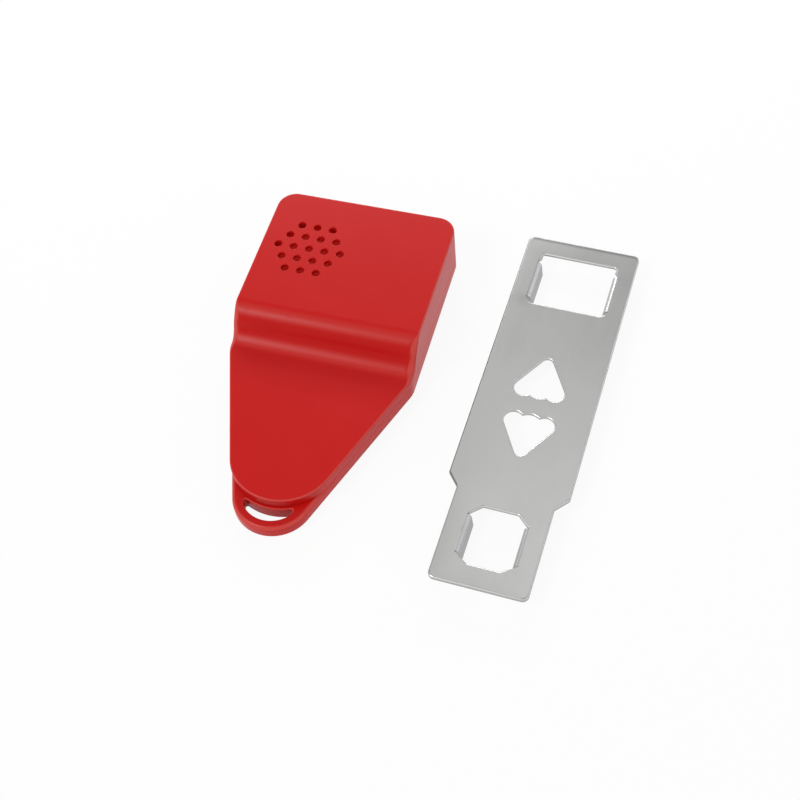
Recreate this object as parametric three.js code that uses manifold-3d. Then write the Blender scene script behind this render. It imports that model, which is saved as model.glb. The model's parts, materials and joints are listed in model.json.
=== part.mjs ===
// A portable door alarm: a wedge-shaped red housing with a siren, and the steel latch plate it wedges into.
// Millimetres, +Z up. The alarm's rear edge is at y = 0 and its tongue points along -Y.
import * as THREE from 'three';
import { mergeVertices } from 'three/addons/utils/BufferGeometryUtils.js';
import Module from 'manifold-3d';

const wasm = await Module();
wasm.setup();

// Clearances
const fit = 0.3; // between pieces that touch, slide or are cut by each other
const bond = 0.1; // under soldered and glued pieces
const overrun = 3; // how far a cutter passes the face it cuts

// Smoothness of round stretches
const arcStepDegrees = 12;
const roundSides = 28;
const smallSides = 12;
const wireSides = 6;

// Housing, seen from above
const sounderMargin = 0.4; // between the sounder's seat and the side wall
const middleGap = 6; // between the sounder's seat and the battery
const rearCornerRadius = 7.2;
const taperLag = 12.3; // from the battery bay's front to where the sides turn in
const taperDegrees = 20;
const taperCornerRadius = 9.6;
const coverEndRadius = 19.8;
const loopEndRadius = 15;

// Housing, seen from the side, with heights above its underside
const padThickness = 1;
const batteryHeadroom = 0.3; // between the battery and the top wall
const stemRoom = 1.3; // between the trigger's flange and the switch it presses
const partingHeight = 6;
const crestLead = 2; // the top bends down this far behind the front of the battery's snap
const stepRadius = 8.9;

// Walls
const shellWall = 2;
const topWall = 1.7;
const floorWall = 1.8;

// Key loop
const loopWall = 3.6;
const slotBack = 0.9; // the slot starts this far in front of the upper cover
const slotHalfWidth = 9.3;

// Siren grille and sounder
const grilleY = -26.5;
const grillePitch = 6.27;
const grilleHoleRadius = 1.6;
const grilleRings = 2;
const chamberMargin = 0.16; // the sounder's chamber is wider than the grille by this
const chamberDepth = 2.6;
const discLedge = 1.2; // what the disc's edge lies on
const discThickness = 0.4;
const ceramicMargin = 1.3; // between the ceramic and the clamping ring
const ceramicThickness = 0.3;
const sounderRingWidth = 2.2;
const sounderRingHeight = 2;
const ribWall = 1.2;

// Housing screws and their posts
const screwShankRadius = 1.2;
const screwHeadRadius = 2.3;
const screwHeadHeight = 1.4;
const screwRecess = 0.8; // the head lies this deep in the underside
const screwLength = 7;
const postRadius = 3;
const bossRadius = 3.6;
const rearScrewInset = 7.8;
const endScrewInset = 12; // from the upper cover's end

// Nine volt block and its bay
const batteryWidth = 26.5;
const batteryThickness = 17.5;
const batteryCaseLength = 46.4;
const batteryCornerRadius = 2.5;
const batteryRear = 4.6;
const terminalSpacing = 12.7;
const terminalRadius = 2.9;
const terminalHeight = 2.1;
const snapWidth = 24;
const snapHeight = 11;
const snapThickness = 3.4;
const cushionWidth = 15;
const cushionHeight = 9;
const bayWall = 1.6;
const bayWallHeight = 13;
const leadNotchWidth = 12;
const leadNotchDepth = 6;
const railWidth = 0.8;
const railHeight = 1;

// Battery door
const doorLead = 0.9; // the door ends this far behind the bay's front
const doorLedge = 0.8; // the rear shell's lip under the door's flange
const doorLip = 0.9; // the flange reaches this far past the opening
const gripCount = 4;
const gripPitch = 2.4;
const gripWidth = 1.1;
const gripDepth = 0.4;
const gripMargin = 5;

// Trigger button on the underside of the tongue
const triggerLag = 19.5; // from the board's rear edge
const triggerRadius = 6;
const triggerStandOff = 0.8;
const triggerTravel = 0.6;
const triggerBevel = 0.7;
const triggerFlange = 2;
const triggerFlangeThickness = 1;
const triggerRim = 1; // wall of the collar that guides the flange
const triggerRimHeight = 2.6;
const springWireRadius = 0.3;
const springRadius = 5.5;
const springTurns = 1.75;

// Circuit board and what is on it
const boardThickness = 1.2;
const boardPostHeight = 0.7;
const boardLag = 15.6; // from the battery bay's front to the board
const boardLength = 35.5;
const boardMargin = 0.8;
const boardScrewX = 19;
const boardScrewInset = 4.5;
const boardScrewRadius = 0.9;
const boardScrewHead = 1.8;
const boardScrewHeadHeight = 1;
const boardScrewLength = 2.6;
const tactWidth = 6;
const tactHeight = 1.8;
const tactStemRadius = 1.6;
const tactStemReach = 0.4; // the stem reaches this far into its switch at rest
// Sizes of the soldered boxes, and their places as x and distance from the board's rear edge
const chipSize = [5, 6.2, 1.6];
const chipPlace = [-14, 11.5];
const transistorSize = [3, 2.6, 1.1];
const transistorPlace = [12.5, 25.5];
const resistorSize = [3.2, 1.6, 0.6];
const resistorPlaces = [[-5, 7], [5, 7]];
const capacitorPlace = [-11, 27.5];
const capacitorRadius = 2.2;
const capacitorHeight = 2.6;
const coilPlace = [13.5, 11];
const coilRadius = 3.4;
const coilHeight = 3;
const coilWaist = 0.7;
const coilRim = 0.6;

// On and off switch in the rear end
const switchHeight = 11.5;
const switchSize = [9, 3.6, 4];
const knobWidth = 3;
const knobHeight = 1.8;
const knobProud = 1.2;
const knobTravel = 3;
const cradleWall = 1;

// Leads, in pairs that end under the board
const leadRadius = 0.55;
const leadSteps = 20;
const leadSpread = 1.7; // half the distance between the leads of a pair
const leadSolderInset = 3; // from the board's rear edge
const leadDrop = 2.2; // below the board
const leadDip = 3.5; // behind the board's rear edge
const leadBend = 0.8;
const batterySolderX = 10;
const sounderSolderX = -10;
const sounderLeadX = 6; // from the middle of the grille
const sounderLeadY = 6;
const sounderLeadDrop = 6;
const switchLeadDrop = 5;

// Shares of a screw's head radius
const headTopShare = 0.8;
const crossShare = 0.55;
const crossSlitShare = 0.14;

// Rubber pads
const padRadius = 3.4;
const rearPadPlace = 20;
const endPadGap = 4.6; // between the trigger and the last pad

// Latch plate, lengths measured from its rear edge
const plateX = 84.1;
const plateY = 10.4;
const plateTurnDegrees = -1.7;
const plateThickness = 1.5;
const plateStand = 7.8; // height of its top above the floor
const plateWidth = 44;
const plateNarrowWidth = 35.4;
const plateLength = 154.3;
const plateCornerRadius = 2.4;
const shoulderStart = 112.8;
const shoulderLength = 4.9;
const shoulderRadius = 1.2;
const flangeLeanDegrees = 4;
const flangeBendRadius = 0.5; // inside the bend
const reliefGap = 0.2; // between a flange's end and its window
const windowCornerRadius = 0.8;
// Half widths of a window's corners, its rear edge's place and the lengths of its steps from there
const wedgeWindow = {
  rearHalf: 14.5, rear: 8,
  neckHalf: 14.5, neckLength: 2.3,
  bendHalf: 16.1, flareLength: 2.1, bendLength: 17.1,
  frontHalf: 13.8, frontLength: 2.9,
};
const strikeWindow = {
  rearHalf: 6.3, rear: 123.3,
  neckHalf: 10.1, neckLength: 3.5,
  bendHalf: 11.4, flareLength: 0.6, bendLength: 15.1,
  frontHalf: 5.8, frontLength: 3.5,
};
const triangleApex = 56.4;
const triangleLength = 18;
const triangleGap = 7.4;
const apexRadius = 2.2;
const lobeCornerX = 5.8;
const lobeRadius = 3.6;
const lobeRise = 1.1; // height of the lobes over the cusps

// Heights above the floor
const bodyHeight = floorWall + fit + batteryThickness + batteryHeadroom + topWall;
const partStack = stemRoom + tactHeight + bond + boardThickness + boardPostHeight + fit;
const tongueHeight = floorWall + fit + triggerFlangeThickness + partStack + topWall;
const underZ = padThickness;
const floorZ = underZ + floorWall;
const partingZ = underZ + partingHeight;
const topZ = underZ + bodyHeight;
const tongueZ = underZ + tongueHeight;
const innerTopZ = topZ - topWall;
const innerTongueZ = tongueZ - topWall;

// Sounder, from the grille outwards
const chamberRadius = grilleRings * grillePitch + grilleHoleRadius + chamberMargin;
const discRadius = chamberRadius + discLedge;
const ceramicRadius = discRadius - sounderRingWidth - ceramicMargin;
const seatRadius = discRadius + fit + ribWall;

// Across the housing: the sounder, the battery and their walls
const sounderSpan = sounderMargin + 2 * seatRadius + middleGap;
const side = shellWall + (sounderSpan + batteryWidth + fit + railWidth) / 2;
const grilleX = shellWall + sounderMargin + seatRadius - side;

// Battery bay, from the right wall inwards and from the rear edge forwards
const batteryRight = side - shellWall - railWidth - fit;
const batteryLeft = batteryRight - batteryWidth;
const batteryX = (batteryLeft + batteryRight) / 2;
const batteryZ = floorZ + fit + batteryThickness / 2;
const batteryFront = batteryRear + batteryCaseLength;
const snapRear = batteryFront + terminalHeight + bond;
const snapFront = snapRear + snapThickness;
const bayFront = snapFront + fit;
const bayLeft = batteryLeft - fit;
const doorLength = bayFront - doorLead;

// Along the housing, from the battery bay forwards
const stepStart = snapFront - crestLead;
const taperStart = bayFront + taperLag;
const boardRear = bayFront + boardLag;
const boardFront = boardRear + boardLength;
const boardScrewPlace = boardRear + boardScrewInset;
const leadSolderPlace = boardRear + leadSolderInset;
const triggerPlace = boardRear + triggerLag;

// Worked out from the housing's plan
const taper = THREE.MathUtils.degToRad(taperDegrees);
const taperReach = side * Math.cos(taper) + taperStart * Math.sin(taper);
const coverEnd = coverEndRadius - endCentre(coverEndRadius);
const housingLength = loopEndRadius - endCentre(loopEndRadius);
const stepTurn = Math.acos(1 - (bodyHeight - tongueHeight) / (2 * stepRadius));
const stepEnd = stepStart + 2 * stepRadius * Math.sin(stepTurn);

// Screw places, as x and y
const frontScrewY = -(bayFront + bayWall + fit + bossRadius);
const frontScrewX = side - shellWall - bossRadius - fit;
const rearScrewX = [rearScrewInset - side, bayLeft - bayWall - fit - postRadius];
const screwPlaces = [
  [rearScrewX[0], -rearScrewInset],
  [rearScrewX[1], -rearScrewInset],
  [-frontScrewX, frontScrewY],
  [frontScrewX, frontScrewY],
  [0, endScrewInset - coverEnd],
];
const switchX = (rearScrewX[0] + rearScrewX[1]) / 2;
const screwHeadZ = underZ + screwRecess;
const screwSeatZ = screwHeadZ + screwHeadHeight;

// Board, trigger and sounder levels
const boardTopZ = innerTongueZ - boardPostHeight - fit;
const boardUnderZ = boardTopZ - boardThickness;
const partZ = boardUnderZ - bond; // top of the pieces soldered under the board
const flangeZ = floorZ + fit;
const stemBottom = flangeZ + triggerFlangeThickness + fit;
const stemTop = partZ - tactHeight + tactStemReach;
const leadZ = boardUnderZ - leadDrop;
const discZ = innerTopZ - chamberDepth - fit - discThickness;
const ceramicZ = discZ - bond - ceramicThickness;
const ringZ = discZ - fit - sounderRingHeight;
const boardScrewPlaces = [[-boardScrewX, -boardScrewPlace], [boardScrewX, -boardScrewPlace]];
const switchZ = underZ + switchHeight;
const switchRearY = -(shellWall + fit);

// Closed shapes and booleans
function toSolid(geometry) {
  const bare = geometry.clone();
  bare.deleteAttribute('normal');
  bare.deleteAttribute('uv');
  const merged = mergeVertices(bare);
  return new wasm.Manifold(new wasm.Mesh({
    numProp: 3,
    vertProperties: new Float32Array(merged.attributes.position.array),
    triVerts: new Uint32Array(merged.index.array),
  }));
}

function toGeometry(solid) {
  const mesh = solid.getMesh();
  const geometry = new THREE.BufferGeometry();
  geometry.setAttribute('position', new THREE.BufferAttribute(mesh.vertProperties, mesh.numProp));
  geometry.setIndex(new THREE.BufferAttribute(mesh.triVerts, 1));
  geometry.computeVertexNormals();
  return geometry;
}

function addAll(first, others) {
  return others.reduce((sum, other) => sum.add(other), first);
}

function cutAll(first, cutters) {
  return cutters.reduce((rest, cutter) => rest.subtract(cutter), first);
}

// Outlines
function arc(x, y, radius, from, to) {
  const steps = Math.max(1, Math.ceil(Math.abs(to - from) / THREE.MathUtils.degToRad(arcStepDegrees)));
  return Array.from({ length: steps + 1 }, (_, i) => {
    const angle = from + (to - from) * i / steps;
    return new THREE.Vector2(x + radius * Math.cos(angle), y + radius * Math.sin(angle));
  });
}

function polygon(x, y, radius, sides) {
  return Array.from({ length: sides }, (_, i) => {
    const angle = 2 * Math.PI * i / sides;
    return new THREE.Vector2(x + radius * Math.cos(angle), y + radius * Math.sin(angle));
  });
}

// Rounds each corner, given as x, y and radius, of a closed outline.
function roundCorners(corners) {
  return corners.flatMap(([x, y, radius], i) => {
    const here = new THREE.Vector2(x, y);
    if (!radius) return [here];
    const last = corners.at(i - 1);
    const next = corners[(i + 1) % corners.length];
    const back = new THREE.Vector2(last[0], last[1]).sub(here).normalize();
    const ahead = new THREE.Vector2(next[0], next[1]).sub(here).normalize();
    const half = back.angleTo(ahead) / 2;
    const centre = back.clone().add(ahead).normalize().multiplyScalar(radius / Math.sin(half)).add(here);
    const start = back.multiplyScalar(radius / Math.tan(half)).add(here).sub(centre).angle();
    const end = ahead.multiplyScalar(radius / Math.tan(half)).add(here).sub(centre).angle();
    const sweep = Math.atan2(Math.sin(end - start), Math.cos(end - start));
    return arc(centre.x, centre.y, radius, start, start + sweep);
  });
}

function mirrored(half) {
  return [...half, ...half.map(([x, ...rest]) => [-x, ...rest]).reverse()];
}

// Solids from outlines
function extrusion(points, depth) {
  return new THREE.ExtrudeGeometry(new THREE.Shape(points), { depth, bevelEnabled: false });
}

function prism(points, bottom, top) {
  const geometry = extrusion(points, top - bottom);
  geometry.translate(0, 0, bottom);
  return toSolid(geometry);
}

// An outline in y and z, drawn out along X.
function crossPrism(points, left, right) {
  const geometry = extrusion(points, right - left);
  geometry.translate(0, 0, left);
  geometry.rotateY(Math.PI / 2);
  geometry.rotateX(Math.PI / 2);
  return toSolid(geometry);
}

// An outline in x and z, drawn out along Y.
function lengthPrism(points, front, rear) {
  const geometry = extrusion(points, rear - front);
  geometry.rotateX(Math.PI / 2);
  geometry.translate(0, rear, 0);
  return toSolid(geometry);
}

// A box by its middle and its size along each axis.
function box([x, y, z], [width, length, height]) {
  const geometry = new THREE.BoxGeometry(width, length, height);
  geometry.translate(x, y, z);
  return toSolid(geometry);
}

// A box by where its faces lie.
function block(left, right, front, rear, bottom, top) {
  const size = [right - left, rear - front, top - bottom];
  return box([(left + right) / 2, (front + rear) / 2, (bottom + top) / 2], size);
}

function rod(x, y, bottom, top, radius, sides = roundSides) {
  const geometry = new THREE.CylinderGeometry(radius, radius, top - bottom, sides);
  geometry.rotateX(Math.PI / 2);
  geometry.translate(x, y, (bottom + top) / 2);
  return toSolid(geometry);
}

function ring(x, y, bottom, top, inner, outer, sides = roundSides) {
  return rod(x, y, bottom, top, outer, sides)
    .subtract(rod(x, y, bottom - overrun, top + overrun, inner, sides));
}

// A turned shape about a vertical axis, from a profile of radii and heights.
function turned(x, y, profile, sides = roundSides) {
  const geometry = new THREE.LatheGeometry(profile.map(([r, z]) => new THREE.Vector2(r, z)), sides);
  geometry.rotateX(Math.PI / 2);
  geometry.translate(x, y, 0);
  return toSolid(geometry);
}

function alongCurve(curve, radius, steps) {
  const section = new THREE.Shape(polygon(0, 0, radius, wireSides));
  return new THREE.ExtrudeGeometry(section, { steps, extrudePath: curve, bevelEnabled: false });
}

// Housing outline at a distance inside its outer wall.
function endCentre(radius) {
  return (radius - taperReach) / Math.sin(taper);
}

function sideAt(y, inset) {
  return (taperReach - inset + y * Math.sin(taper)) / Math.cos(taper);
}

function housingOutline(endRadius, inset) {
  const turnX = side - taperCornerRadius;
  const turnY = (turnX * Math.cos(taper) + taperCornerRadius - taperReach) / Math.sin(taper);
  const turnRadius = taperCornerRadius - inset;
  const rearX = side - rearCornerRadius;
  const rearRadius = rearCornerRadius - inset;
  return [
    ...arc(0, endCentre(endRadius), endRadius - inset, Math.PI + taper, 2 * Math.PI - taper),
    ...arc(turnX, turnY, turnRadius, -taper, 0),
    ...arc(rearX, -rearCornerRadius, rearRadius, 0, Math.PI / 2),
    ...arc(-rearX, -rearCornerRadius, rearRadius, Math.PI / 2, Math.PI),
    ...arc(-turnX, turnY, turnRadius, Math.PI, Math.PI + taper),
  ];
}

// Side view of the stepped top, at a distance under its surface.
function stepOutline(depth, bottom) {
  const upright = Math.PI / 2;
  const crest = arc(-stepStart, topZ - stepRadius, stepRadius - depth, upright, upright + stepTurn);
  const trough = arc(-stepEnd, tongueZ + stepRadius, stepRadius + depth, stepTurn - upright, -upright);
  const far = -(housingLength + overrun);
  return [
    new THREE.Vector2(overrun, bottom),
    new THREE.Vector2(overrun, topZ - depth),
    ...crest,
    ...trough,
    new THREE.Vector2(far, tongueZ - depth),
    new THREE.Vector2(far, bottom),
  ];
}

function steppedBlock(inset, depth, bottom) {
  const reach = side + overrun;
  return prism(housingOutline(coverEndRadius, inset), bottom, topZ + overrun)
    .intersect(crossPrism(stepOutline(depth, bottom - overrun), -reach, reach));
}

// Grille: rings of a hexagon about a middle hole.
function grilleHoles() {
  const holes = [];
  for (let row = -grilleRings; row <= grilleRings; row += 1) {
    const count = 2 * grilleRings + 1 - Math.abs(row);
    for (let i = 0; i < count; i += 1) {
      const x = grilleX + (i - (count - 1) / 2) * grillePitch;
      const y = grilleY + row * grillePitch * Math.sin(Math.PI / 3);
      holes.push(rod(x, y, innerTopZ - overrun, topZ + overrun, grilleHoleRadius, smallSides));
    }
  }
  return holes;
}

function sounderSeat() {
  const rib = discRadius + fit;
  const top = innerTopZ + bond;
  const ledge = ring(grilleX, grilleY, innerTopZ - chamberDepth, top, chamberRadius, rib + bond);
  return ledge.add(ring(grilleX, grilleY, ringZ, top, rib, seatRadius));
}

function switchCradle() {
  const [width, depth, height] = switchSize;
  const reach = (width + cradleWall) / 2 + fit;
  return [-1, 1].map((hand) => {
    const x = switchX + hand * reach;
    return block(
      x - cradleWall / 2, x + cradleWall / 2,
      switchRearY - depth, bond - shellWall,
      switchZ - height / 2, innerTopZ + bond,
    );
  });
}

// The slot that the switch's knob slides in.
function knobSlot(front, rear) {
  const x = switchX + knobTravel / 2;
  const width = knobWidth + knobTravel + 2 * fit;
  return box([x, (front + rear) / 2, switchZ], [width, rear - front, knobHeight + 2 * fit]);
}

function frontShell() {
  const outer = steppedBlock(0, 0, partingZ);
  const inner = steppedBlock(shellWall, topWall, partingZ - overrun);
  const midWall = steppedBlock(shellWall / 2, topWall / 2, partingZ);
  const posts = screwPlaces.map(([x, y]) => rod(x, y, partingZ, topZ, postRadius).intersect(midWall));
  const boardPosts = boardScrewPlaces.map(([x, y]) => (
    rod(x, y, boardTopZ + fit, topZ, postRadius).intersect(midWall)));
  const shell = addAll(outer.subtract(inner), [...posts, ...boardPosts, sounderSeat(), ...switchCradle()]);
  const pilots = screwPlaces.map(([x, y]) => (
    rod(x, y, partingZ - overrun, screwSeatZ + screwLength + fit, screwShankRadius + fit, smallSides)));
  const boardPilots = boardScrewPlaces.map(([x, y]) => (
    rod(x, y, boardTopZ, boardUnderZ - fit + boardScrewLength + fit, boardScrewRadius + fit, smallSides)));
  return cutAll(shell, [...pilots, ...boardPilots, ...grilleHoles(), knobSlot(-shellWall - bond, overrun)]);
}

function keySlot() {
  const loopY = endCentre(loopEndRadius);
  const coverY = endCentre(coverEndRadius);
  const top = partingZ + overrun;
  return rod(0, loopY, -overrun, top, loopEndRadius - loopWall, 2 * roundSides)
    .subtract(rod(0, coverY, -2 * overrun, top + overrun, coverEndRadius + slotBack, 2 * roundSides))
    .intersect(block(-slotHalfWidth, slotHalfWidth, -housingLength, 0, -overrun, top));
}

// The door and the way it slides in, wider by a clearance all round for the cut.
function doorBody(gap) {
  const front = -doorLength - gap;
  const top = floorZ + gap;
  const reach = doorLip + gap;
  const lower = block(batteryLeft - gap, batteryRight + gap, front, overrun, underZ - gap, top);
  const flangeBottom = underZ + doorLedge + fit - gap;
  return lower.add(block(batteryLeft - reach, batteryRight + reach, front, overrun, flangeBottom, top));
}

function batteryDoor() {
  const outline = prism(housingOutline(loopEndRadius, 0), underZ - overrun, partingZ);
  const grips = Array.from({ length: gripCount }, (_, i) => (
    box([batteryX, -gripMargin - i * gripPitch, underZ], [batteryWidth / 2, gripWidth, 2 * gripDepth])));
  return cutAll(doorBody(0).intersect(outline), grips);
}

function bayWalls() {
  const top = underZ + bayWallHeight;
  const frontY = -(bayFront + bayWall);
  const left = block(bayLeft - bayWall, bayLeft, frontY, -(shellWall + fit), underZ, top);
  const front = block(bayLeft - bayWall / 2, side - shellWall - fit, frontY, -bayFront, underZ, top);
  const notchHalf = leadNotchWidth / 2;
  const notch = block(
    batteryX - notchHalf, batteryX + notchHalf, -(bayFront + bayWall + overrun), -bayFront + overrun,
    top - leadNotchDepth, top + overrun,
  );
  const wallX = side - shellWall;
  const railZ = floorZ + fit;
  const railTop = railZ + railHeight;
  const rail = block(wallX - railWidth, wallX + bond, -doorLength, -rearCornerRadius - fit, railZ, railTop);
  return [left, front.subtract(notch), rail];
}

function rearShell() {
  const top = partingZ - fit;
  const outer = prism(housingOutline(loopEndRadius, 0), underZ, top);
  const cavity = prism(housingOutline(coverEndRadius, shellWall), floorZ, top + overrun);
  const bosses = screwPlaces.map(([x, y]) => rod(x, y, underZ, top, bossRadius));
  const rim = triggerRadius + triggerFlange + fit;
  const collar = ring(0, -triggerPlace, underZ, floorZ + triggerRimHeight, rim, rim + triggerRim);
  const shell = addAll(outer.subtract(cavity), [...bosses, collar, ...bayWalls()]);
  const heads = screwPlaces.map(([x, y]) => rod(x, y, -overrun, screwSeatZ + fit, screwHeadRadius + fit));
  const holes = screwPlaces.map(([x, y]) => (
    rod(x, y, -overrun, top + overrun, screwShankRadius + fit, smallSides)));
  const triggerHole = rod(0, -triggerPlace, -overrun, floorZ + overrun, triggerRadius + fit);
  return cutAll(shell, [...heads, ...holes, triggerHole, keySlot(), doorBody(fit)]);
}

// A pan-head screw seen point up, with a cross recess in its head.
function screw(x, y, headZ, head, headHeight, shank, length) {
  const seat = headZ + headHeight;
  const tip = seat + length;
  const body = turned(x, y, [
    [0, headZ], [head * headTopShare, headZ], [head, headZ + headHeight / 3], [head, seat], [shank, seat],
    [shank, tip - shank], [0, tip],
  ], smallSides);
  const arm = head * crossShare;
  const slit = head * crossSlitShare;
  const deep = headZ + headHeight / 2;
  const cross = block(x - arm, x + arm, y - slit, y + slit, headZ - overrun, deep)
    .add(block(x - slit, x + slit, y - arm, y + arm, headZ - overrun, deep));
  return body.subtract(cross);
}

function triggerButton() {
  const bottom = underZ - triggerStandOff;
  const outer = triggerRadius + triggerFlange;
  return turned(0, -triggerPlace, [
    [0, bottom], [triggerRadius - triggerBevel, bottom], [triggerRadius, bottom + triggerBevel],
    [triggerRadius, flangeZ], [outer, flangeZ],
    [outer, flangeZ + triggerFlangeThickness], [0, flangeZ + triggerFlangeThickness],
  ]);
}

class Helix extends THREE.Curve {
  constructor(x, y, bottom, top, radius, turns) {
    super();
    Object.assign(this, { x, y, bottom, top, radius, turns });
  }

  getPoint(share, target = new THREE.Vector3()) {
    const angle = 2 * Math.PI * this.turns * share;
    const z = this.bottom + (this.top - this.bottom) * share;
    return target.set(this.x + this.radius * Math.cos(angle), this.y + this.radius * Math.sin(angle), z);
  }
}

function triggerSpring() {
  const bottom = stemBottom + springWireRadius;
  const top = boardUnderZ - fit - springWireRadius;
  const curve = new Helix(0, -triggerPlace, bottom, top, springRadius, springTurns);
  return alongCurve(curve, springWireRadius, Math.round(springTurns * roundSides / 2));
}

function circuitBoard() {
  const inset = shellWall + boardMargin;
  const rearHalf = sideAt(-boardRear, inset);
  const frontHalf = sideAt(-boardFront, inset);
  const corners = mirrored([[rearHalf, -boardRear, fit], [frontHalf, -boardFront, fit]]);
  const holes = boardScrewPlaces.map(([x, y]) => (
    rod(x, y, boardUnderZ - overrun, boardTopZ + overrun, boardScrewRadius + fit, smallSides)));
  return cutAll(prism(roundCorners(corners), boardUnderZ, boardTopZ), holes);
}

// A place on the board, given as x and distance from the board's rear edge.
function onBoard([x, distance]) {
  return [x, -(boardRear + distance)];
}

// The switch that the trigger presses, open below for its stem.
function tactSwitch() {
  const bottom = partZ - tactHeight;
  const roof = stemTop + triggerTravel + fit;
  const bore = rod(0, -triggerPlace, bottom - overrun, roof, tactStemRadius + fit, smallSides);
  return boardBox([tactWidth, tactWidth, tactHeight], [0, triggerLag]).subtract(bore);
}

// A box soldered under the board.
function boardBox(size, spot) {
  const [x, y] = onBoard(spot);
  return box([x, y, partZ - size[2] / 2], size);
}

function stepUpCoil(spot) {
  const [x, y] = onBoard(spot);
  const bottom = partZ - coilHeight;
  const waist = coilRadius - coilWaist;
  return turned(x, y, [
    [0, bottom], [coilRadius, bottom], [coilRadius, bottom + coilRim], [waist, bottom + coilRim],
    [waist, partZ - coilRim], [coilRadius, partZ - coilRim], [coilRadius, partZ], [0, partZ],
  ], smallSides);
}

function slideSwitch() {
  const depth = switchSize[1];
  const body = box([switchX, switchRearY - depth / 2, switchZ], switchSize);
  return body.subtract(knobSlot(switchRearY - depth / 2, overrun));
}

function switchKnob() {
  const front = switchRearY - switchSize[1] / 2 + fit;
  return box([switchX, (front + knobProud) / 2, switchZ], [knobWidth, knobProud - front, knobHeight]);
}

function batteryCase() {
  const half = batteryWidth / 2;
  const tall = batteryThickness / 2;
  const right = [-tall, tall].map((z) => [half, batteryZ + z, batteryCornerRadius]);
  return lengthPrism(roundCorners(mirrored(right)), -batteryFront, -batteryRear).translate([batteryX, 0, 0]);
}

// A short round stud along Y.
function stud(x, z, front, rear, radius) {
  return lengthPrism(polygon(x, z, radius, smallSides), front, rear);
}

function batterySnap() {
  const half = snapWidth / 2;
  const tall = snapHeight / 2;
  const right = [-tall, tall].map((z) => [half, batteryZ + z, tall - bond]);
  const outline = roundCorners(mirrored(right));
  return lengthPrism(outline, -(snapRear + snapThickness), -snapRear).translate([batteryX, 0, 0]);
}

function batteryCushion() {
  const front = bond - batteryRear;
  const rear = -(shellWall + fit);
  return box([batteryX, (front + rear) / 2, batteryZ], [cushionWidth, rear - front, cushionHeight]);
}

// A lead from its part, on under the board's rear edge and up to the board.
function lead(way, solderX) {
  const points = [
    ...way,
    [solderX, leadDip - boardRear, leadZ],
    [solderX, leadBend - leadSolderPlace, leadZ],
    [solderX, -leadSolderPlace, partZ - bond],
  ];
  const curve = new THREE.CatmullRomCurve3(points.map(([x, y, z]) => new THREE.Vector3(x, y, z)));
  return alongCurve(curve, leadRadius, leadSteps);
}

function batteryLead(hand) {
  const x = batteryX + hand * leadSpread;
  const start = [x, -(snapRear + snapThickness + bond), batteryZ];
  return lead([start, [x, -(bayFront + bayWall), batteryZ]], batterySolderX + hand * leadSpread);
}

function sounderLead(hand) {
  const x = grilleX + sounderLeadX + hand * leadSpread;
  const y = grilleY - sounderLeadY;
  const start = [x, y, ceramicZ - bond];
  return lead([start, [x, y - leadBend, ceramicZ - sounderLeadDrop]], sounderSolderX + hand * leadSpread);
}

function switchLead(hand) {
  const x = switchX + hand * leadSpread;
  const start = [x, switchRearY - switchSize[1] - bond, switchZ];
  return lead([start, [x, grilleY, switchZ - switchLeadDrop]], hand * leadSpread);
}

// Latch plate: window outlines, lobed triangles, and flanges folded down at both windows' sides
function windowSteps(hole) {
  const neck = hole.rear + hole.neckLength;
  const bendStart = neck + hole.flareLength;
  const bendEnd = bendStart + hole.bendLength;
  return { neck, bendStart, bendEnd, front: bendEnd + hole.frontLength };
}

function windowOutline(hole) {
  const { neck, bendStart, bendEnd, front } = windowSteps(hole);
  return roundCorners(mirrored([
    [hole.rearHalf, -hole.rear, windowCornerRadius],
    [hole.neckHalf, -neck, 0],
    [hole.bendHalf, -bendStart, 0],
    [hole.bendHalf, -bendEnd, 0],
    [hole.frontHalf, -front, windowCornerRadius],
  ]));
}

function lobedTriangle() {
  const triangleBase = triangleApex + triangleLength;
  const apexY = -(triangleApex + apexRadius);
  const lobeY = lobeRadius - triangleBase;
  const slope = Math.atan2(lobeY - apexY, lobeCornerX);
  const reach = Math.hypot(lobeCornerX, lobeY - apexY);
  const normal = slope + Math.acos((apexRadius - lobeRadius) / reach);
  const cuspX = lobeCornerX - Math.sqrt(lobeRise * (2 * lobeRadius - lobeRise));
  const middleRadius = (cuspX ** 2 + lobeRise ** 2) / (2 * lobeRise);
  const cornerCusp = Math.asin(1 - lobeRise / lobeRadius) - Math.PI;
  const middleCusp = -Math.asin(1 - lobeRise / middleRadius);
  const right = [
    ...arc(0, apexY, apexRadius, Math.PI / 2, normal),
    ...arc(lobeCornerX, lobeY, lobeRadius, normal, cornerCusp),
    ...arc(0, middleRadius - triangleBase, middleRadius, middleCusp, -Math.PI / 2).slice(1),
  ];
  const left = right.slice(1, -1).reverse().map((point) => new THREE.Vector2(-point.x, point.y));
  return [...right, ...left];
}

function flange(hole, hand) {
  const outerRadius = flangeBendRadius + plateThickness;
  const centreZ = plateStand - outerRadius;
  const lean = THREE.MathUtils.degToRad(flangeLeanDegrees);
  const foot = (radius) => new THREE.Vector2(
    radius * Math.cos(lean) + (centreZ + radius * Math.sin(lean)) * Math.tan(lean), 0,
  );
  const outside = arc(0, centreZ, outerRadius, Math.PI / 2, lean);
  const inside = arc(0, centreZ, flangeBendRadius, lean, Math.PI / 2);
  const root = -plateThickness;
  const section = [
    new THREE.Vector2(root, plateStand), ...outside, foot(outerRadius), foot(flangeBendRadius), ...inside,
    new THREE.Vector2(root, plateStand - plateThickness),
  ].map((point) => new THREE.Vector2(hand * (hole.bendHalf - point.x), point.y));
  const { bendStart, bendEnd } = windowSteps(hole);
  return lengthPrism(section, reliefGap - bendEnd, -reliefGap - bendStart);
}

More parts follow.
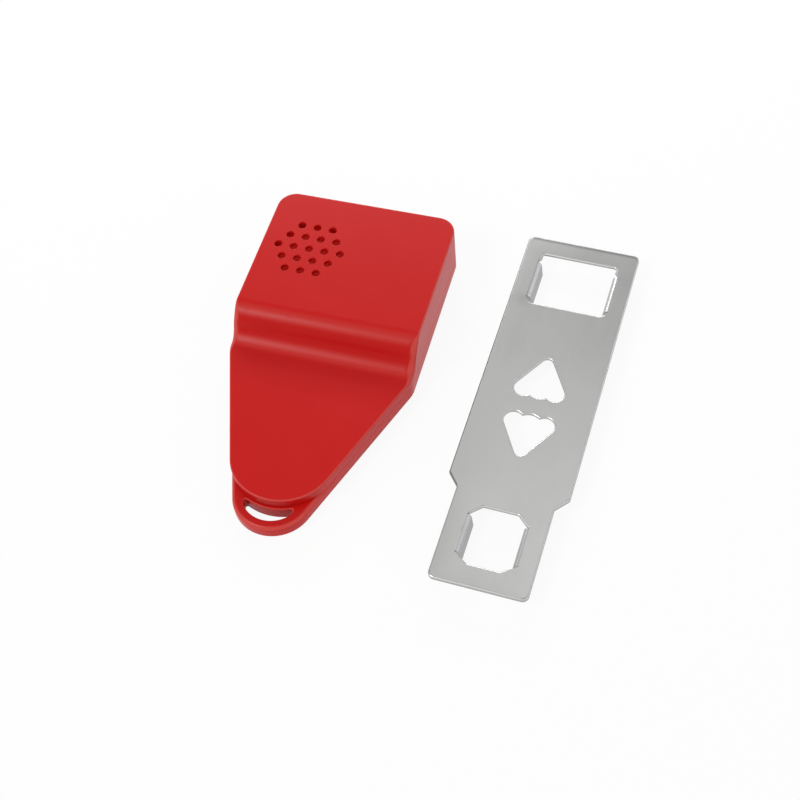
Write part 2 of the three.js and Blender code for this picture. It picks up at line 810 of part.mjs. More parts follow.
function latchPlate() {
  const wide = plateWidth / 2;
  const narrow = plateNarrowWidth / 2;
  const outline = roundCorners(mirrored([
    [wide, 0, plateCornerRadius], [wide, -shoulderStart, shoulderRadius],
    [narrow, -(shoulderStart + shoulderLength), shoulderRadius], [narrow, -plateLength, plateCornerRadius],
  ]));
  const under = plateStand - plateThickness;
  const cutter = (points) => prism(points, under - overrun, plateStand + overrun);
  const triangle = lobedTriangle();
  const flip = -(2 * (triangleApex + triangleLength) + triangleGap);
  const turnedTriangle = triangle.map((point) => new THREE.Vector2(point.x, flip - point.y)).reverse();
  const holes = [
    windowOutline(wedgeWindow), windowOutline(strikeWindow), triangle, turnedTriangle,
  ].map(cutter);
  const sheet = cutAll(prism(outline, under, plateStand), holes);
  const flanges = [wedgeWindow, strikeWindow].flatMap((hole) => [-1, 1].map((hand) => flange(hole, hand)));
  return addAll(sheet, flanges);
}

// Materials
function finish(color, roughness, metalness = 0) {
  return new THREE.MeshStandardMaterial({ color, roughness, metalness });
}

const redPlastic = finish('#c4342e', 0.42);
const blackPlastic = finish('#1d1d1f', 0.45);
const steelPlate = finish('#b4b4b2', 0.36, 0.9);
const screwSteel = finish('#8f9296', 0.35, 0.9);
const rubber = finish('#222222', 0.85);
const boardGreen = finish('#1f5c3a', 0.5);
const brass = finish('#c9a34a', 0.3, 0.9);
const ceramic = finish('#d9d4c6', 0.6);
const caseBlue = finish('#28486e', 0.35, 0.4);
const foam = finish('#3a3a3c', 0.95);
const coilBrown = finish('#4a3a30', 0.6);
const leadColours = [finish('#a81f1f', 0.5), finish('#161616', 0.5)];

const alarmSet = new THREE.Group();
const alarm = new THREE.Group();
alarmSet.add(alarm);

function place(name, shape, material, parent = alarm) {
  const geometry = shape.isBufferGeometry ? shape : toGeometry(shape);
  const mesh = new THREE.Mesh(geometry, material);
  mesh.name = name;
  parent.add(mesh);
  return mesh;
}

place('front_shell', frontShell(), redPlastic);
place('rear_shell', rearShell(), redPlastic);
place('battery_door', batteryDoor(), redPlastic);
screwPlaces.forEach(([x, y], i) => {
  const shape = screw(x, y, screwHeadZ, screwHeadRadius, screwHeadHeight, screwShankRadius, screwLength);
  place(`housing_screw_${i + 1}`, shape, screwSteel);
});

const padPlaces = [
  [screwPlaces[0][0], -rearPadPlace], [screwPlaces[1][0], -rearPadPlace],
  [-frontScrewX, frontScrewY - bossRadius - padRadius], [frontScrewX, frontScrewY - bossRadius - padRadius],
  [0, -(triggerPlace + triggerRadius + endPadGap + padRadius)],
];
padPlaces.forEach(([x, y], i) => {
  place(`rubber_pad_${i + 1}`, rod(x, y, 0, underZ - bond, padRadius), rubber);
});

place('trigger_button', triggerButton(), blackPlastic);
place('trigger_spring', triggerSpring(), screwSteel);

place('circuit_board', circuitBoard(), boardGreen);
boardScrewPlaces.forEach(([x, y], i) => {
  const headZ = boardUnderZ - fit - boardScrewHeadHeight;
  const shape = screw(x, y, headZ, boardScrewHead, boardScrewHeadHeight, boardScrewRadius, boardScrewLength);
  place(`board_screw_${i + 1}`, shape, screwSteel);
});
place('tact_switch', tactSwitch(), blackPlastic);
place('tact_stem', rod(0, -triggerPlace, stemBottom, stemTop, tactStemRadius, smallSides), ceramic);
place('siren_chip', boardBox(chipSize, chipPlace), blackPlastic);
place('switching_transistor', boardBox(transistorSize, transistorPlace), blackPlastic);
place('step_up_coil', stepUpCoil(coilPlace), coilBrown);
const [capacitorX, capacitorY] = onBoard(capacitorPlace);
const can = rod(capacitorX, capacitorY, partZ - capacitorHeight, partZ, capacitorRadius, smallSides);
place('capacitor', can, screwSteel);
resistorPlaces.forEach((spot, i) => {
  place(`resistor_${i + 1}`, boardBox(resistorSize, spot), blackPlastic);
});

place('sounder_disc', rod(grilleX, grilleY, discZ, discZ + discThickness, discRadius), brass);
const tile = rod(grilleX, grilleY, ceramicZ, ceramicZ + ceramicThickness, ceramicRadius);
place('sounder_ceramic', tile, ceramic);
const ringInner = discRadius - sounderRingWidth;
const clamp = ring(grilleX, grilleY, ringZ, ringZ + sounderRingHeight, ringInner, discRadius);
place('sounder_ring', clamp, blackPlastic);

place('slide_switch', slideSwitch(), screwSteel);
place('switch_knob', switchKnob(), blackPlastic);

place('battery', batteryCase(), caseBlue);
[-1, 1].forEach((hand, i) => {
  const x = batteryX + hand * terminalSpacing / 2;
  const shape = stud(x, batteryZ, -(batteryFront + terminalHeight), -(batteryFront + bond), terminalRadius);
  place(`battery_terminal_${i + 1}`, shape, screwSteel);
});
place('battery_snap', batterySnap(), blackPlastic);
place('battery_cushion', batteryCushion(), foam);

[-1, 1].forEach((hand, i) => {
  place(`battery_lead_${i + 1}`, batteryLead(hand), leadColours[i]);
  place(`sounder_lead_${i + 1}`, sounderLead(hand), leadColours[i]);
  place(`switch_lead_${i + 1}`, switchLead(hand), leadColours[i]);
});

const plate = place('latch_plate', latchPlate(), steelPlate, alarmSet);
plate.position.set(plateX, plateY, 0);
plate.rotation.z = THREE.MathUtils.degToRad(plateTurnDegrees);

const bounds = new THREE.Box3().setFromObject(alarmSet, true);
const middle = bounds.getCenter(new THREE.Vector3());
alarmSet.position.set(-middle.x, -middle.y, -bounds.min.z);

export default alarmSet;
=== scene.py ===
# A wedge-shaped door alarm and the steel latch plate that it wedges into, in a white studio.
import json
import math
from contextlib import contextmanager

import bmesh
import bpy
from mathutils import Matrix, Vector


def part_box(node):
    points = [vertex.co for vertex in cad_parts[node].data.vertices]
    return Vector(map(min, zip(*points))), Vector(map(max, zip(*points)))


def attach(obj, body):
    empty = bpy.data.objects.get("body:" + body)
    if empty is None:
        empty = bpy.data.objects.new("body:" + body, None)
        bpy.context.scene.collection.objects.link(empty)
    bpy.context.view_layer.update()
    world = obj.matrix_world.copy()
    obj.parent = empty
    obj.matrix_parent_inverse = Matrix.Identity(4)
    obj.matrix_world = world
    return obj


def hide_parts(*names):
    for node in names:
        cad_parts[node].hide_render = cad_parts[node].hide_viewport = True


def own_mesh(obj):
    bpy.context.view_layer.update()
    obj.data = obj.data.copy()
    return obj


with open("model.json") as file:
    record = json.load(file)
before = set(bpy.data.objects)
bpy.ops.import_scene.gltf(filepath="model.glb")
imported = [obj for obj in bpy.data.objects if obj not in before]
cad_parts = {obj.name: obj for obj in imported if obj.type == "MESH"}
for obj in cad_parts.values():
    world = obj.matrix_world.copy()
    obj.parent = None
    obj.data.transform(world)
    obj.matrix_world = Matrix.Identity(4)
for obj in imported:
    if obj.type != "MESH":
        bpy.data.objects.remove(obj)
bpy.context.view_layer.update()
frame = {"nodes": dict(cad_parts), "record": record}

millimetre = 0.001
alarmPlace = {"x": -35.0096, "y": 66.6523}  # where the alarm's own zero lies in the frame
scene = bpy.context.scene


# Camera, floor and light

camera = {
    "place": (0.10515, -0.27283, 0.42868),
    "turn": (33.7777, 4.0426, 16.0838),  # degrees about X, Y and Z
    "lens": 62.08,
    "sensor": 36,
    "nearest": 0.01,
}

studio = {
    "floorSize": 3.0,
    "floorColour": (0.93, 0.93, 0.93, 1),
    "floorRoughness": 0.9,
    "whiteness": 0.92,  # how much of the floor the camera sees as plain white
    "sky": 0.42,
    "skyShown": (0.8, 0.8, 0.8, 1),  # what the camera and the reflections see in place of it
    "lamps": [
        # name, azimuth and elevation in degrees, distance, width and height, watts
        ("keySoftbox", 226, 48, 1.6, (0.42, 0.60), 9.6),
        ("rearSoftbox", 108, 27, 0.65, (0.42, 0.18), 1.7),
        ("sideSoftbox", 338, 17, 1.0, (0.45, 0.30), 1.3),
        ("rimSoftbox", 35, 14, 1.0, (0.30, 0.24), 0.8),
        ("topSoftbox", 84, 67, 1.0, (0.42, 0.26), 0.34),
    ],
}


class Wire:
    # A socket of a shader, which takes part in sums like a number.
    def __init__(self, tree, socket):
        self.tree = tree
        self.socket = socket

    def maths(self, operation, *terms):
        return self.tree.node("ShaderNodeMath", {"operation": operation}, dict(enumerate(terms)))

    def __add__(self, other):
        return self.maths("ADD", self, other)

    def __radd__(self, other):
        return self.maths("ADD", other, self)

    def __sub__(self, other):
        return self.maths("SUBTRACT", self, other)

    def __rsub__(self, other):
        return self.maths("SUBTRACT", other, self)

    def __mul__(self, other):
        return self.maths("MULTIPLY", self, other)

    def __rmul__(self, other):
        return self.maths("MULTIPLY", other, self)

    def __abs__(self):
        return self.maths("ABSOLUTE", self)


class Tree:
    # The nodes of a material or of the world. plain holds the fixed values of the main shader.
    def __init__(self, holder, main, output, plain):
        holder.use_nodes = True
        self.nodes = holder.node_tree.nodes
        self.links = holder.node_tree.links
        self.main = self.nodes[main]
        self.surface = self.nodes[output].inputs["Surface"]
        for key, value in plain.items():
            self.main.inputs[key].default_value = value

    def node(self, kind, settings=None, values=None, output=0):
        made = self.nodes.new(kind)
        for key, value in (settings or {}).items():
            if key == "stops":
                self.setStops(made.color_ramp, value)
            else:
                setattr(made, key, value)
        for key, value in (values or {}).items():
            self.give(made.inputs[key], value)
        return Wire(self, made.outputs[output])

    def setStops(self, ramp, stops):
        while len(ramp.elements) < len(stops):
            ramp.elements.new(1.0)
        for element, (place, shade) in zip(ramp.elements, stops):
            element.position = place
            element.color = (shade, shade, shade, 1)

    def give(self, socket, value):
        if isinstance(value, Wire):
            self.links.new(value.socket, socket)
        else:
            socket.default_value = value

    def whiteForView(self, white, share):
        # What the camera and the reflections see turns white by this share. The rest is the main shader.
        cameraRay, glossyRay, passingRay = (
            self.node("ShaderNodeLightPath", output=f"Is {kind} Ray")
            for kind in ("Camera", "Glossy", "Transmission"))
        seen = (cameraRay + glossyRay + passingRay) * share
        lit = Wire(self, self.main.outputs[0])
        self.give(self.surface, self.node("ShaderNodeMixShader", None, {0: seen, 1: lit, 2: white}))


class Finish(Tree):
    # A material with the textures and masks that its surface needs.
    def __init__(self, name, plain):
        self.material = bpy.data.materials.new(name)
        super().__init__(self.material, "Principled BSDF", "Material Output", plain)

    def feed(self, name, value):
        self.give(self.main.inputs[name], value)

    def noise(self, size, detail=2.0, stretch=None):
        # size is in millimetres.
        where = self.node("ShaderNodeTexCoord", output="Object")
        if stretch:
            where = self.vector("MULTIPLY", where, stretch, 0)
        return self.node("ShaderNodeTexNoise", {"noise_dimensions": "3D"},
                         {"Vector": where, "Scale": 1 / (size * millimetre), "Detail": detail})

    def vector(self, operation, first, second, output=1):
        # Output 0 is a vector and 1 a number.
        return self.node("ShaderNodeVectorMath", {"operation": operation}, {0: first, 1: second}, output)

    def along(self, axis, kind="Normal"):
        # One part of the surface's direction, or of its place if kind is Object.
        whole = self.node("ShaderNodeTexCoord", output=kind)
        return self.node("ShaderNodeSeparateXYZ", None, {0: whole}, output=axis)

    def ramp(self, value, stops):
        return self.node("ShaderNodeValToRGB", {"stops": stops}, {"Fac": value})

    def blend(self, share, first, second):
        return self.node("ShaderNodeMix", {"data_type": "RGBA"}, {0: share, 6: first, 7: second}, output=2)

    def bump(self, height, depth):
        return self.node("ShaderNodeBump", None, {"Height": height, "Distance": depth * millimetre})


def makeCamera():
    data = bpy.data.cameras.new("studioCamera")
    data.lens = camera["lens"]
    data.sensor_width = camera["sensor"]
    data.clip_start = camera["nearest"]
    made = bpy.data.objects.new("studioCamera", data)
    made.location = camera["place"]
    made.rotation_euler = [math.radians(angle) for angle in camera["turn"]]
    scene.collection.objects.link(made)
    scene.camera = made


def makeLamp(name, azimuth, elevation, distance, size, watts):
    data = bpy.data.lights.new(name, "AREA")
    data.shape = "RECTANGLE"
    data.size, data.size_y = size
    data.energy = watts
    made = bpy.data.objects.new(name, data)
    swing, rise = math.radians(azimuth), math.radians(elevation)
    way = Vector((math.cos(rise) * math.cos(swing), math.cos(rise) * math.sin(swing), math.sin(rise)))
    made.location = way * distance
    made.rotation_euler = (-way).to_track_quat("-Z", "Y").to_euler()
    scene.collection.objects.link(made)


def makeFloor():
    half = studio["floorSize"] / 2
    mesh = bpy.data.meshes.new("studioFloor")
    corners = [(-half, -half, 0), (half, -half, 0), (half, half, 0), (-half, half, 0)]
    mesh.from_pydata(corners, [], [(0, 1, 2, 3)])
    made = bpy.data.objects.new("studioFloor", mesh)
    scene.collection.objects.link(made)
    plain = {"Base Color": studio["floorColour"], "Roughness": studio["floorRoughness"]}
    finish = Finish("studioFloor", plain)
    white = finish.node("ShaderNodeEmission", None, {"Color": (1, 1, 1, 1), "Strength": 1.0})
    finish.whiteForView(white, studio["whiteness"])
    mesh.materials.append(finish.material)


def makeWorld():
    scene.world = bpy.data.worlds.new("studioWorld")
    plain = {"Color": (1, 1, 1, 1), "Strength": studio["sky"]}
    tree = Tree(scene.world, "Background", "World Output", plain)
    shown = tree.node("ShaderNodeBackground", None, {"Color": studio["skyShown"], "Strength": 1.0})
    tree.whiteForView(shown, 1.0)


scene.view_settings.view_transform = "Standard"
makeCamera()
makeWorld()
makeFloor()
for lampRow in studio["lamps"]:
    makeLamp(*lampRow)
print("studio ready")


# Finishes, with sizes and depths in millimetres. Stops are pairs of a place on a scale and a share.

plasticTexture = {
    "cloud": 14,
    "scuff": 3.2,
    "scuffStretch": (1.0, 0.12, 1.0),
    "scuffStops": [(0.0, 0.0), (0.72, 0.0), (0.76, 1.0)],
    "grainDetail": 3.0,
    "grainShare": 0.05,  # of the grain in the roughness
}

redPlastic = {
    "colour": (0.55, 0.0055, 0.004, 1),
    "worn": (0.57, 0.0075, 0.006, 1),
    "gloss": 0.19,
    "roughness": (0.29, 0.35),
    "grain": 0.35,
    "grainDepth": 0.008,
    "scuffs": 0.08,
    "edge": (0.60, 0.022, 0.018, 1),  # painted highlight on the step's two bands
    "edgeStops": [(0.66, 0.0), (0.84, 1.0), (0.95, 1.0), (0.99, 0.0)],  # by how far up the surface faces
    "rim": (0.66, 0.062, 0.052, 1),  # painted highlight on rounded edges, except across the step above rimTop
    "rimStops": [(0.15, 0.0), (0.35, 1.0), (0.85, 1.0), (0.96, 0.0)],
    "rimTop": 11.7,
    "rimTopStops": [(0.96, 1.0), (1.0, 0.0)],  # by height, as a share of rimTop
    "sideStops": [(0.15, 0.0), (0.3, 1.0)],  # by how far the surface faces sideways
}

blackPlastic = {
    "colour": (0.013, 0.013, 0.014, 1),
    "worn": (0.020, 0.020, 0.021, 1),
    "gloss": 0.5,
    "roughness": (0.38, 0.50),
    "grain": 0.3,
    "grainDepth": 0.010,
    "scuffs": 0.10,
}


def moulded(name, settings):
    # Moulded plastic: fine grain, slow changes of gloss and colour, and a few hairline scuffs.
    texture = plasticTexture
    finish = Finish(name, {"Specular IOR Level": settings["gloss"]})
    cloud = finish.noise(texture["cloud"])
    grain = finish.noise(settings["grain"], texture["grainDetail"])
    scuff = finish.ramp(finish.noise(texture["scuff"], 1.0, texture["scuffStretch"]), texture["scuffStops"])
    low, high = settings["roughness"]
    tone = finish.blend(cloud, settings["colour"], settings["worn"])
    if "edge" in settings:
        # Painted highlight: lighter red where the surface tilts, on the step's two bands and the upper part
        # of rounded edges.
        level = abs(finish.along(2))
        tone = finish.blend(finish.ramp(level, settings["edgeStops"]), tone, settings["edge"])
        # Painted highlight on rounded edges that face sideways or lie below rimTop, which leaves out the
        # step.
        sides = finish.ramp(abs(finish.along(0)), settings["sideStops"])
        height = finish.along(2, "Object") * (1 / (settings["rimTop"] * millimetre))
        under = finish.ramp(height, settings["rimTopStops"])
        either = finish.ramp(sides + under, [(0.0, 0.0), (1.0, 1.0)])  # no more than 1
        tone = finish.blend(finish.ramp(level, settings["rimStops"]) * either, tone, settings["rim"])
    rough = low + (high - low) * cloud + settings["scuffs"] * scuff + texture["grainShare"] * grain
    finish.feed("Base Color", tone)
    finish.feed("Roughness", rough)
    finish.feed("Normal", finish.bump(grain, settings["grainDepth"]))
    return finish.material


mattTexture = {"cloud": 6, "detail": 3.0, "cloudShare": 0.12, "grainShare": 0.06}


def matt(name, colour, other, roughness, grain, depth, metallic=0.0, through=None):
    # Small parts: two shades in slow patches under a fine grain. through is the red light that reaches
    # a part through the cover's wall, as an emission.
    texture = mattTexture
    plain = {"Metallic": metallic}
    if through:
        plain.update({"Emission Color": (*through, 1), "Emission Strength": 1.0})
    finish = Finish(name, plain)
    patches = finish.noise(grain * texture["cloud"])
    fine = finish.noise(grain, texture["detail"])
    finish.feed("Base Color", finish.blend(patches, (*colour, 1), (*other, 1)))
    finish.feed("Roughness", roughness + texture["cloudShare"] * patches - texture["grainShare"] * fine)
    finish.feed("Normal", finish.bump(fine, depth))
    return finish.material


finishes = {
    "red_plastic": moulded("redPlastic", redPlastic),
    "black_plastic": moulded("blackPlastic", blackPlastic),
    "screw_steel": matt("screwSteel", (0.42, 0.43, 0.44), (0.34, 0.35, 0.36),
                        roughness=0.28, grain=0.3, depth=0.004, metallic=1.0),
    "rubber": matt("blackRubber", (0.016, 0.016, 0.016), (0.028, 0.027, 0.026),
                   roughness=0.78, grain=0.4, depth=0.03),
    "board_green": matt("solderMask", (0.012, 0.09, 0.035), (0.016, 0.12, 0.05),
                        roughness=0.35, grain=0.5, depth=0.006),
    # The sounder disc's red colour is painted reflection of the red walls around it, and through gives it
    # painted red light as a glow.
    "brass": matt("sounderDisc", (0.62, 0.13, 0.09), (0.56, 0.11, 0.075),
                  roughness=0.6, grain=0.4, depth=0.006, through=(0.17, 0.0, 0.0)),
    "ceramic": matt("paleCeramic", (0.72, 0.70, 0.64), (0.64, 0.62, 0.56),
                    roughness=0.5, grain=0.3, depth=0.004),
    "coil_brown": matt("coilFerrite", (0.05, 0.03, 0.022), (0.08, 0.045, 0.03),
                       roughness=0.5, grain=0.3, depth=0.01),
    "battery_blue": matt("batterySleeve", (0.02, 0.06, 0.16), (0.025, 0.075, 0.19),
                         roughness=0.3, grain=0.6, depth=0.004, metallic=0.3),
    "foam": matt("foamPad", (0.035, 0.035, 0.037), (0.06, 0.06, 0.062),
                 roughness=0.88, grain=0.7, depth=0.12),
    "red_lead": matt("redLead", (0.36, 0.012, 0.012), (0.42, 0.016, 0.014),
                     roughness=0.42, grain=0.3, depth=0.006),
    "black_lead": matt("blackLead", (0.010, 0.010, 0.010), (0.018, 0.018, 0.018),
                       roughness=0.42, grain=0.3, depth=0.006),
}
print("finishes ready")


# Mesh work, in millimetres from the alarm's own zero

meshWork = {
    "weld": 0.002,  # points closer than this become one
    "same": 0.02,  # how near a line counts as on it
    "flat": 0.2,  # degrees, and the angles below too
    "sharp": 50,
    "smooth": 35,
    "bevelSteps": 3,
    "evenness": 80,
}


def inFrame(point):
    x, y, z = point
    return ((x + alarmPlace["x"]) * millimetre, (y + alarmPlace["y"]) * millimetre, z * millimetre)


def outOfFrame(point):
    x, y, z = point
    return x / millimetre - alarmPlace["x"], y / millimetre - alarmPlace["y"], z / millimetre


def isAt(value, line):
    return abs(value - line) < meshWork["same"]


@contextmanager
def editing(mesh):
    work = bmesh.new()
    work.from_mesh(mesh)
    yield work
    work.to_mesh(mesh)
    work.free()


def solid(name, points, faces):
    mesh = bpy.data.meshes.new(name)
    mesh.from_pydata([inFrame(point) for point in points], [], faces)
    with editing(mesh) as work:
        bmesh.ops.recalc_face_normals(work, faces=work.faces)
    made = bpy.data.objects.new(name, mesh)
    scene.collection.objects.link(made)
    return made


def combine(piece, tool, operation="DIFFERENCE"):
    step = piece.modifiers.new("step", "BOOLEAN")
    step.operation = operation
    step.solver = "EXACT"
    step.object = tool
    ready = piece.evaluated_get(bpy.context.evaluated_depsgraph_get())
    old = piece.data
    piece.data = bpy.data.meshes.new_from_object(ready)
    piece.modifiers.clear()
    bpy.data.meshes.remove(old)
    bpy.data.objects.remove(tool)


def joined(pieces):
    # Adds closed bodies to the first one's mesh as they are.
    piece, *others = pieces
    with editing(piece.data) as work:
        for other in others:
            work.from_mesh(other.data)
            bpy.data.objects.remove(other)
    return piece


def bevelled(work, picked, width, steps):
    bmesh.ops.bevel(work, geom=picked, offset=width * millimetre, offset_type="OFFSET", segments=steps,
                    profile=0.5, affect="EDGES", clamp_overlap=False)


def isSharp(edge):
    return len(edge.link_faces) == 2 and edge.calc_face_angle() > math.radians(meshWork["sharp"])


def softened(piece, width, test, steps=meshWork["bevelSteps"]):
    # Rounds the sharp edges whose ends both pass the test.
    with editing(piece.data) as work:
        bmesh.ops.remove_doubles(work, verts=work.verts, dist=meshWork["weld"] * millimetre)
        flat = math.radians(meshWork["flat"])
        bmesh.ops.dissolve_limit(work, angle_limit=flat, verts=work.verts, edges=work.edges)
        picked = [
            edge for edge in work.edges
            if isSharp(edge) and all(test(*outOfFrame(vert.co)) for vert in edge.verts)
        ]
        bevelled(work, picked, width, steps)


def dress(piece, body, slot, nodes, smooth=meshWork["smooth"]):
    # Clean mesh, smooth shading, its finish, and its place among the bodies and nodes.
    mesh = piece.data
    weld = meshWork["weld"] * millimetre
    with editing(mesh) as work:
        bmesh.ops.remove_doubles(work, verts=work.verts, dist=weld)
        bmesh.ops.dissolve_degenerate(work, edges=work.edges, dist=weld)
    mesh.materials.clear()
    mesh.materials.append(finishes[slot])
    mesh.polygons.foreach_set("use_smooth", [True] * len(mesh.polygons))
    mesh.set_sharp_from_angle(angle=math.radians(smooth))
    even = piece.modifiers.new("evenShading", "WEIGHTED_NORMAL")
    even.keep_sharp = True
    even.weight = meshWork["evenness"]
    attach(piece, body)
    if nodes:
        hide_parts(*nodes)


def quarterTurn(steps):
    # Sines and cosines of even steps over a quarter turn, with both ends.
    angles = [math.pi / 2 * i / steps for i in range(steps + 1)]
    return [(math.sin(angle), math.cos(angle)) for angle in angles]


def bridge(faces, first, second, closed=True):
    # Quads between two rows of point numbers.
    count = len(first)
    for i in range(count if closed else count - 1):
        after = (i + 1) % count
        faces.append((first[i], first[after], second[after], second[i]))


def turned(name, x, y, profile, sides):
    # A body of revolution about a vertical axis, from radii and heights.
    points, faces, rows = [], [], []
    for radius, z in profile:
        if radius == 0:
            rows.append([len(points)])
            points.append((x, y, z))
            continue
        rows.append(list(range(len(points), len(points) + sides)))
        for i in range(sides):
            angle = 2 * math.pi * i / sides
            points.append((x + radius * math.cos(angle), y + radius * math.sin(angle), z))
    for first, second in zip(rows, rows[1:]):
        if len(first) == 1 or len(second) == 1:
            centre, rim = (first, second) if len(first) == 1 else (second, first)
            faces += [(centre[0], rim[i], rim[(i + 1) % sides]) for i in range(sides)]
        else:
            bridge(faces, first, second)
    return solid(name, points, faces)


def tube(name, rows, points):
    # A closed body through rows of point numbers, with flat ends.
    faces = [tuple(rows[0]), tuple(rows[-1])]
    for first, second in zip(rows, rows[1:]):
        bridge(faces, first, second)
    return solid(name, points, faces)


def brick(name, x, y, z):
    # A box between pairs of x, y and z.
    points = [(a, b, c) for a in x for b in y for c in z]
    faces = [(0, 1, 3, 2), (4, 6, 7, 5), (0, 4, 5, 1), (2, 3, 7, 6), (0, 2, 6, 4), (1, 5, 7, 3)]
    return solid(name, points, faces)


def slab(name, outline, bottom, top):
    # A straight-sided body on an outline of x and y.
    count = len(outline)
    points = [(x, y, z) for z in (bottom, top) for x, y in outline]
    return tube(name, [list(range(count)), list(range(count, 2 * count))], points)


# Housing. Lengths and radii are in millimetres, and x and y start at the middle of its rear edge.

housing = {
    "side": 36.0,
    "rearCorner": 7.2,
    "taperStart": 69.2,
    "taper": 20,  # degrees on each side
    "taperCorner": 9.6,
    "coverEnd": 19.8,
    "loopEnd": 15.0,
    "under": 1.0,
    "parting": 6.79,
    "partingGap": 0.1,
    "partingEdge": 0.14,
    "top": 22.6,
    "tongueTop": 11.2,
    "stepStart": 54.6,
    "stepRadius": 8.9,
    "wall": 2.0,
    "topWall": 1.7,
    "floor": 2.8,
    "edge": 0.8,  # radius of the top edge
    "stepEdge": 3.4,  # and in the step
    "stepEdgeGrows": (55.5, 62.0),
    "stepEdgeShrinks": (66.0, 73.0),
    "lowEdge": 0.8,
}

# Counts of the faces that follow the housing's forms
facets = {
    "across": 24,
    "rearCorner": 16,
    "side": 18,
    "step": 18,
    "stepClear": 0.15,  # how near the last one may come to the taper's bend
    "taperCorner": 10,
    "taper": 26,
    "tip": 26,
    "partingEdge": 3,
    "wall": 5,
    "topEdge": 8,
    "innerWall": 3,
    "lowerEdges": 6,
}

past = {"below": -2.0, "above": 10.0, "rear": 3.0}  # where cutting tools end, outside what they cut

sine = math.sin(math.radians(housing["taper"]))
cosine = math.cos(math.radians(housing["taper"]))
taperReach = housing["side"] * cosine + housing["taperStart"] * sine
stepTurn = math.acos(1 - (housing["top"] - housing["tongueTop"]) / (2 * housing["stepRadius"]))
stepEnd = housing["stepStart"] + 2 * housing["stepRadius"] * math.sin(stepTurn)


def endMiddle(radius):
    # Where on the middle line the arc of an end lies, if both tapered sides touch it.
    return (radius - taperReach) / sine


def topAt(y, depth=0.0):
    # Height of the cover's top at a distance from the rear edge, or of a surface below it.
    radius = housing["stepRadius"]
    along = -y
    crest = radius - depth
    trough = radius + depth
    middle = housing["stepStart"] + crest * math.sin(stepTurn)
    if along <= housing["stepStart"]:
        return housing["top"] - depth
    if along <= middle:
        return housing["top"] - radius + math.sqrt(crest ** 2 - (along - housing["stepStart"]) ** 2)
    if along < stepEnd:
        return housing["tongueTop"] + radius - math.sqrt(trough ** 2 - (stepEnd - along) ** 2)
    return housing["tongueTop"] - depth


def easeAt(value, start, end):
    share = min(1.0, max(0.0, (value - start) / (end - start)))
    return share * share * (3 - 2 * share)


def edgeAt(y):
    swell = easeAt(-y, *housing["stepEdgeGrows"]) * (1 - easeAt(-y, *housing["stepEdgeShrinks"]))
    return housing["edge"] + (housing["stepEdge"] - housing["edge"]) * swell


def rightSide(endRadius):
    # Points and outward directions down the right side, from the rear corner to the tip.
    made = []

    def bend(x, y, radius, start, end, count):
        for i in range(count + 1):
            angle = math.radians(start + (end - start) * i / count)
            out = (math.cos(angle), math.sin(angle))
            made.append((x + radius * out[0], y + radius * out[1], *out))

    corner = housing["rearCorner"]
    side = housing["side"]
    stepStart = housing["stepStart"]
    radius = housing["stepRadius"]
    turnX = side - housing["taperCorner"]
    turnY = (turnX * cosine + housing["taperCorner"] - taperReach) / sine
    bend(side - corner, -corner, corner, 90, 0, facets["rearCorner"])
    rows = facets["side"]
    for i in range(1, rows + 1):
        made.append((side, -corner - (stepStart - corner) * i / rows, 1, 0))
    rows = facets["step"]
    for i in range(1, rows + 1):
        made.append((side, -(stepStart + radius * math.sin(stepTurn * i / rows)), 1, 0))
    for i in range(1, rows):
        y = -(stepEnd - radius * math.sin(stepTurn * (1 - i / rows)))
        if y > turnY + facets["stepClear"]:
            made.append((side, y, 1, 0))
    bend(turnX, turnY, housing["taperCorner"], 0, -housing["taper"], facets["taperCorner"])
    lastX, lastY = made[-1][:2]
    goalX = endRadius * cosine
    goalY = endMiddle(endRadius) - endRadius * sine
    rows = facets["taper"]
    for i in range(1, rows):
        share = i / rows
        made.append((lastX + (goalX - lastX) * share, lastY + (goalY - lastY) * share, cosine, -sine))
    bend(0, endMiddle(endRadius), endRadius, -housing["taper"], -90, facets["tip"])
    made[-1] = (0.0, made[-1][1], 0.0, -1.0)
    return made


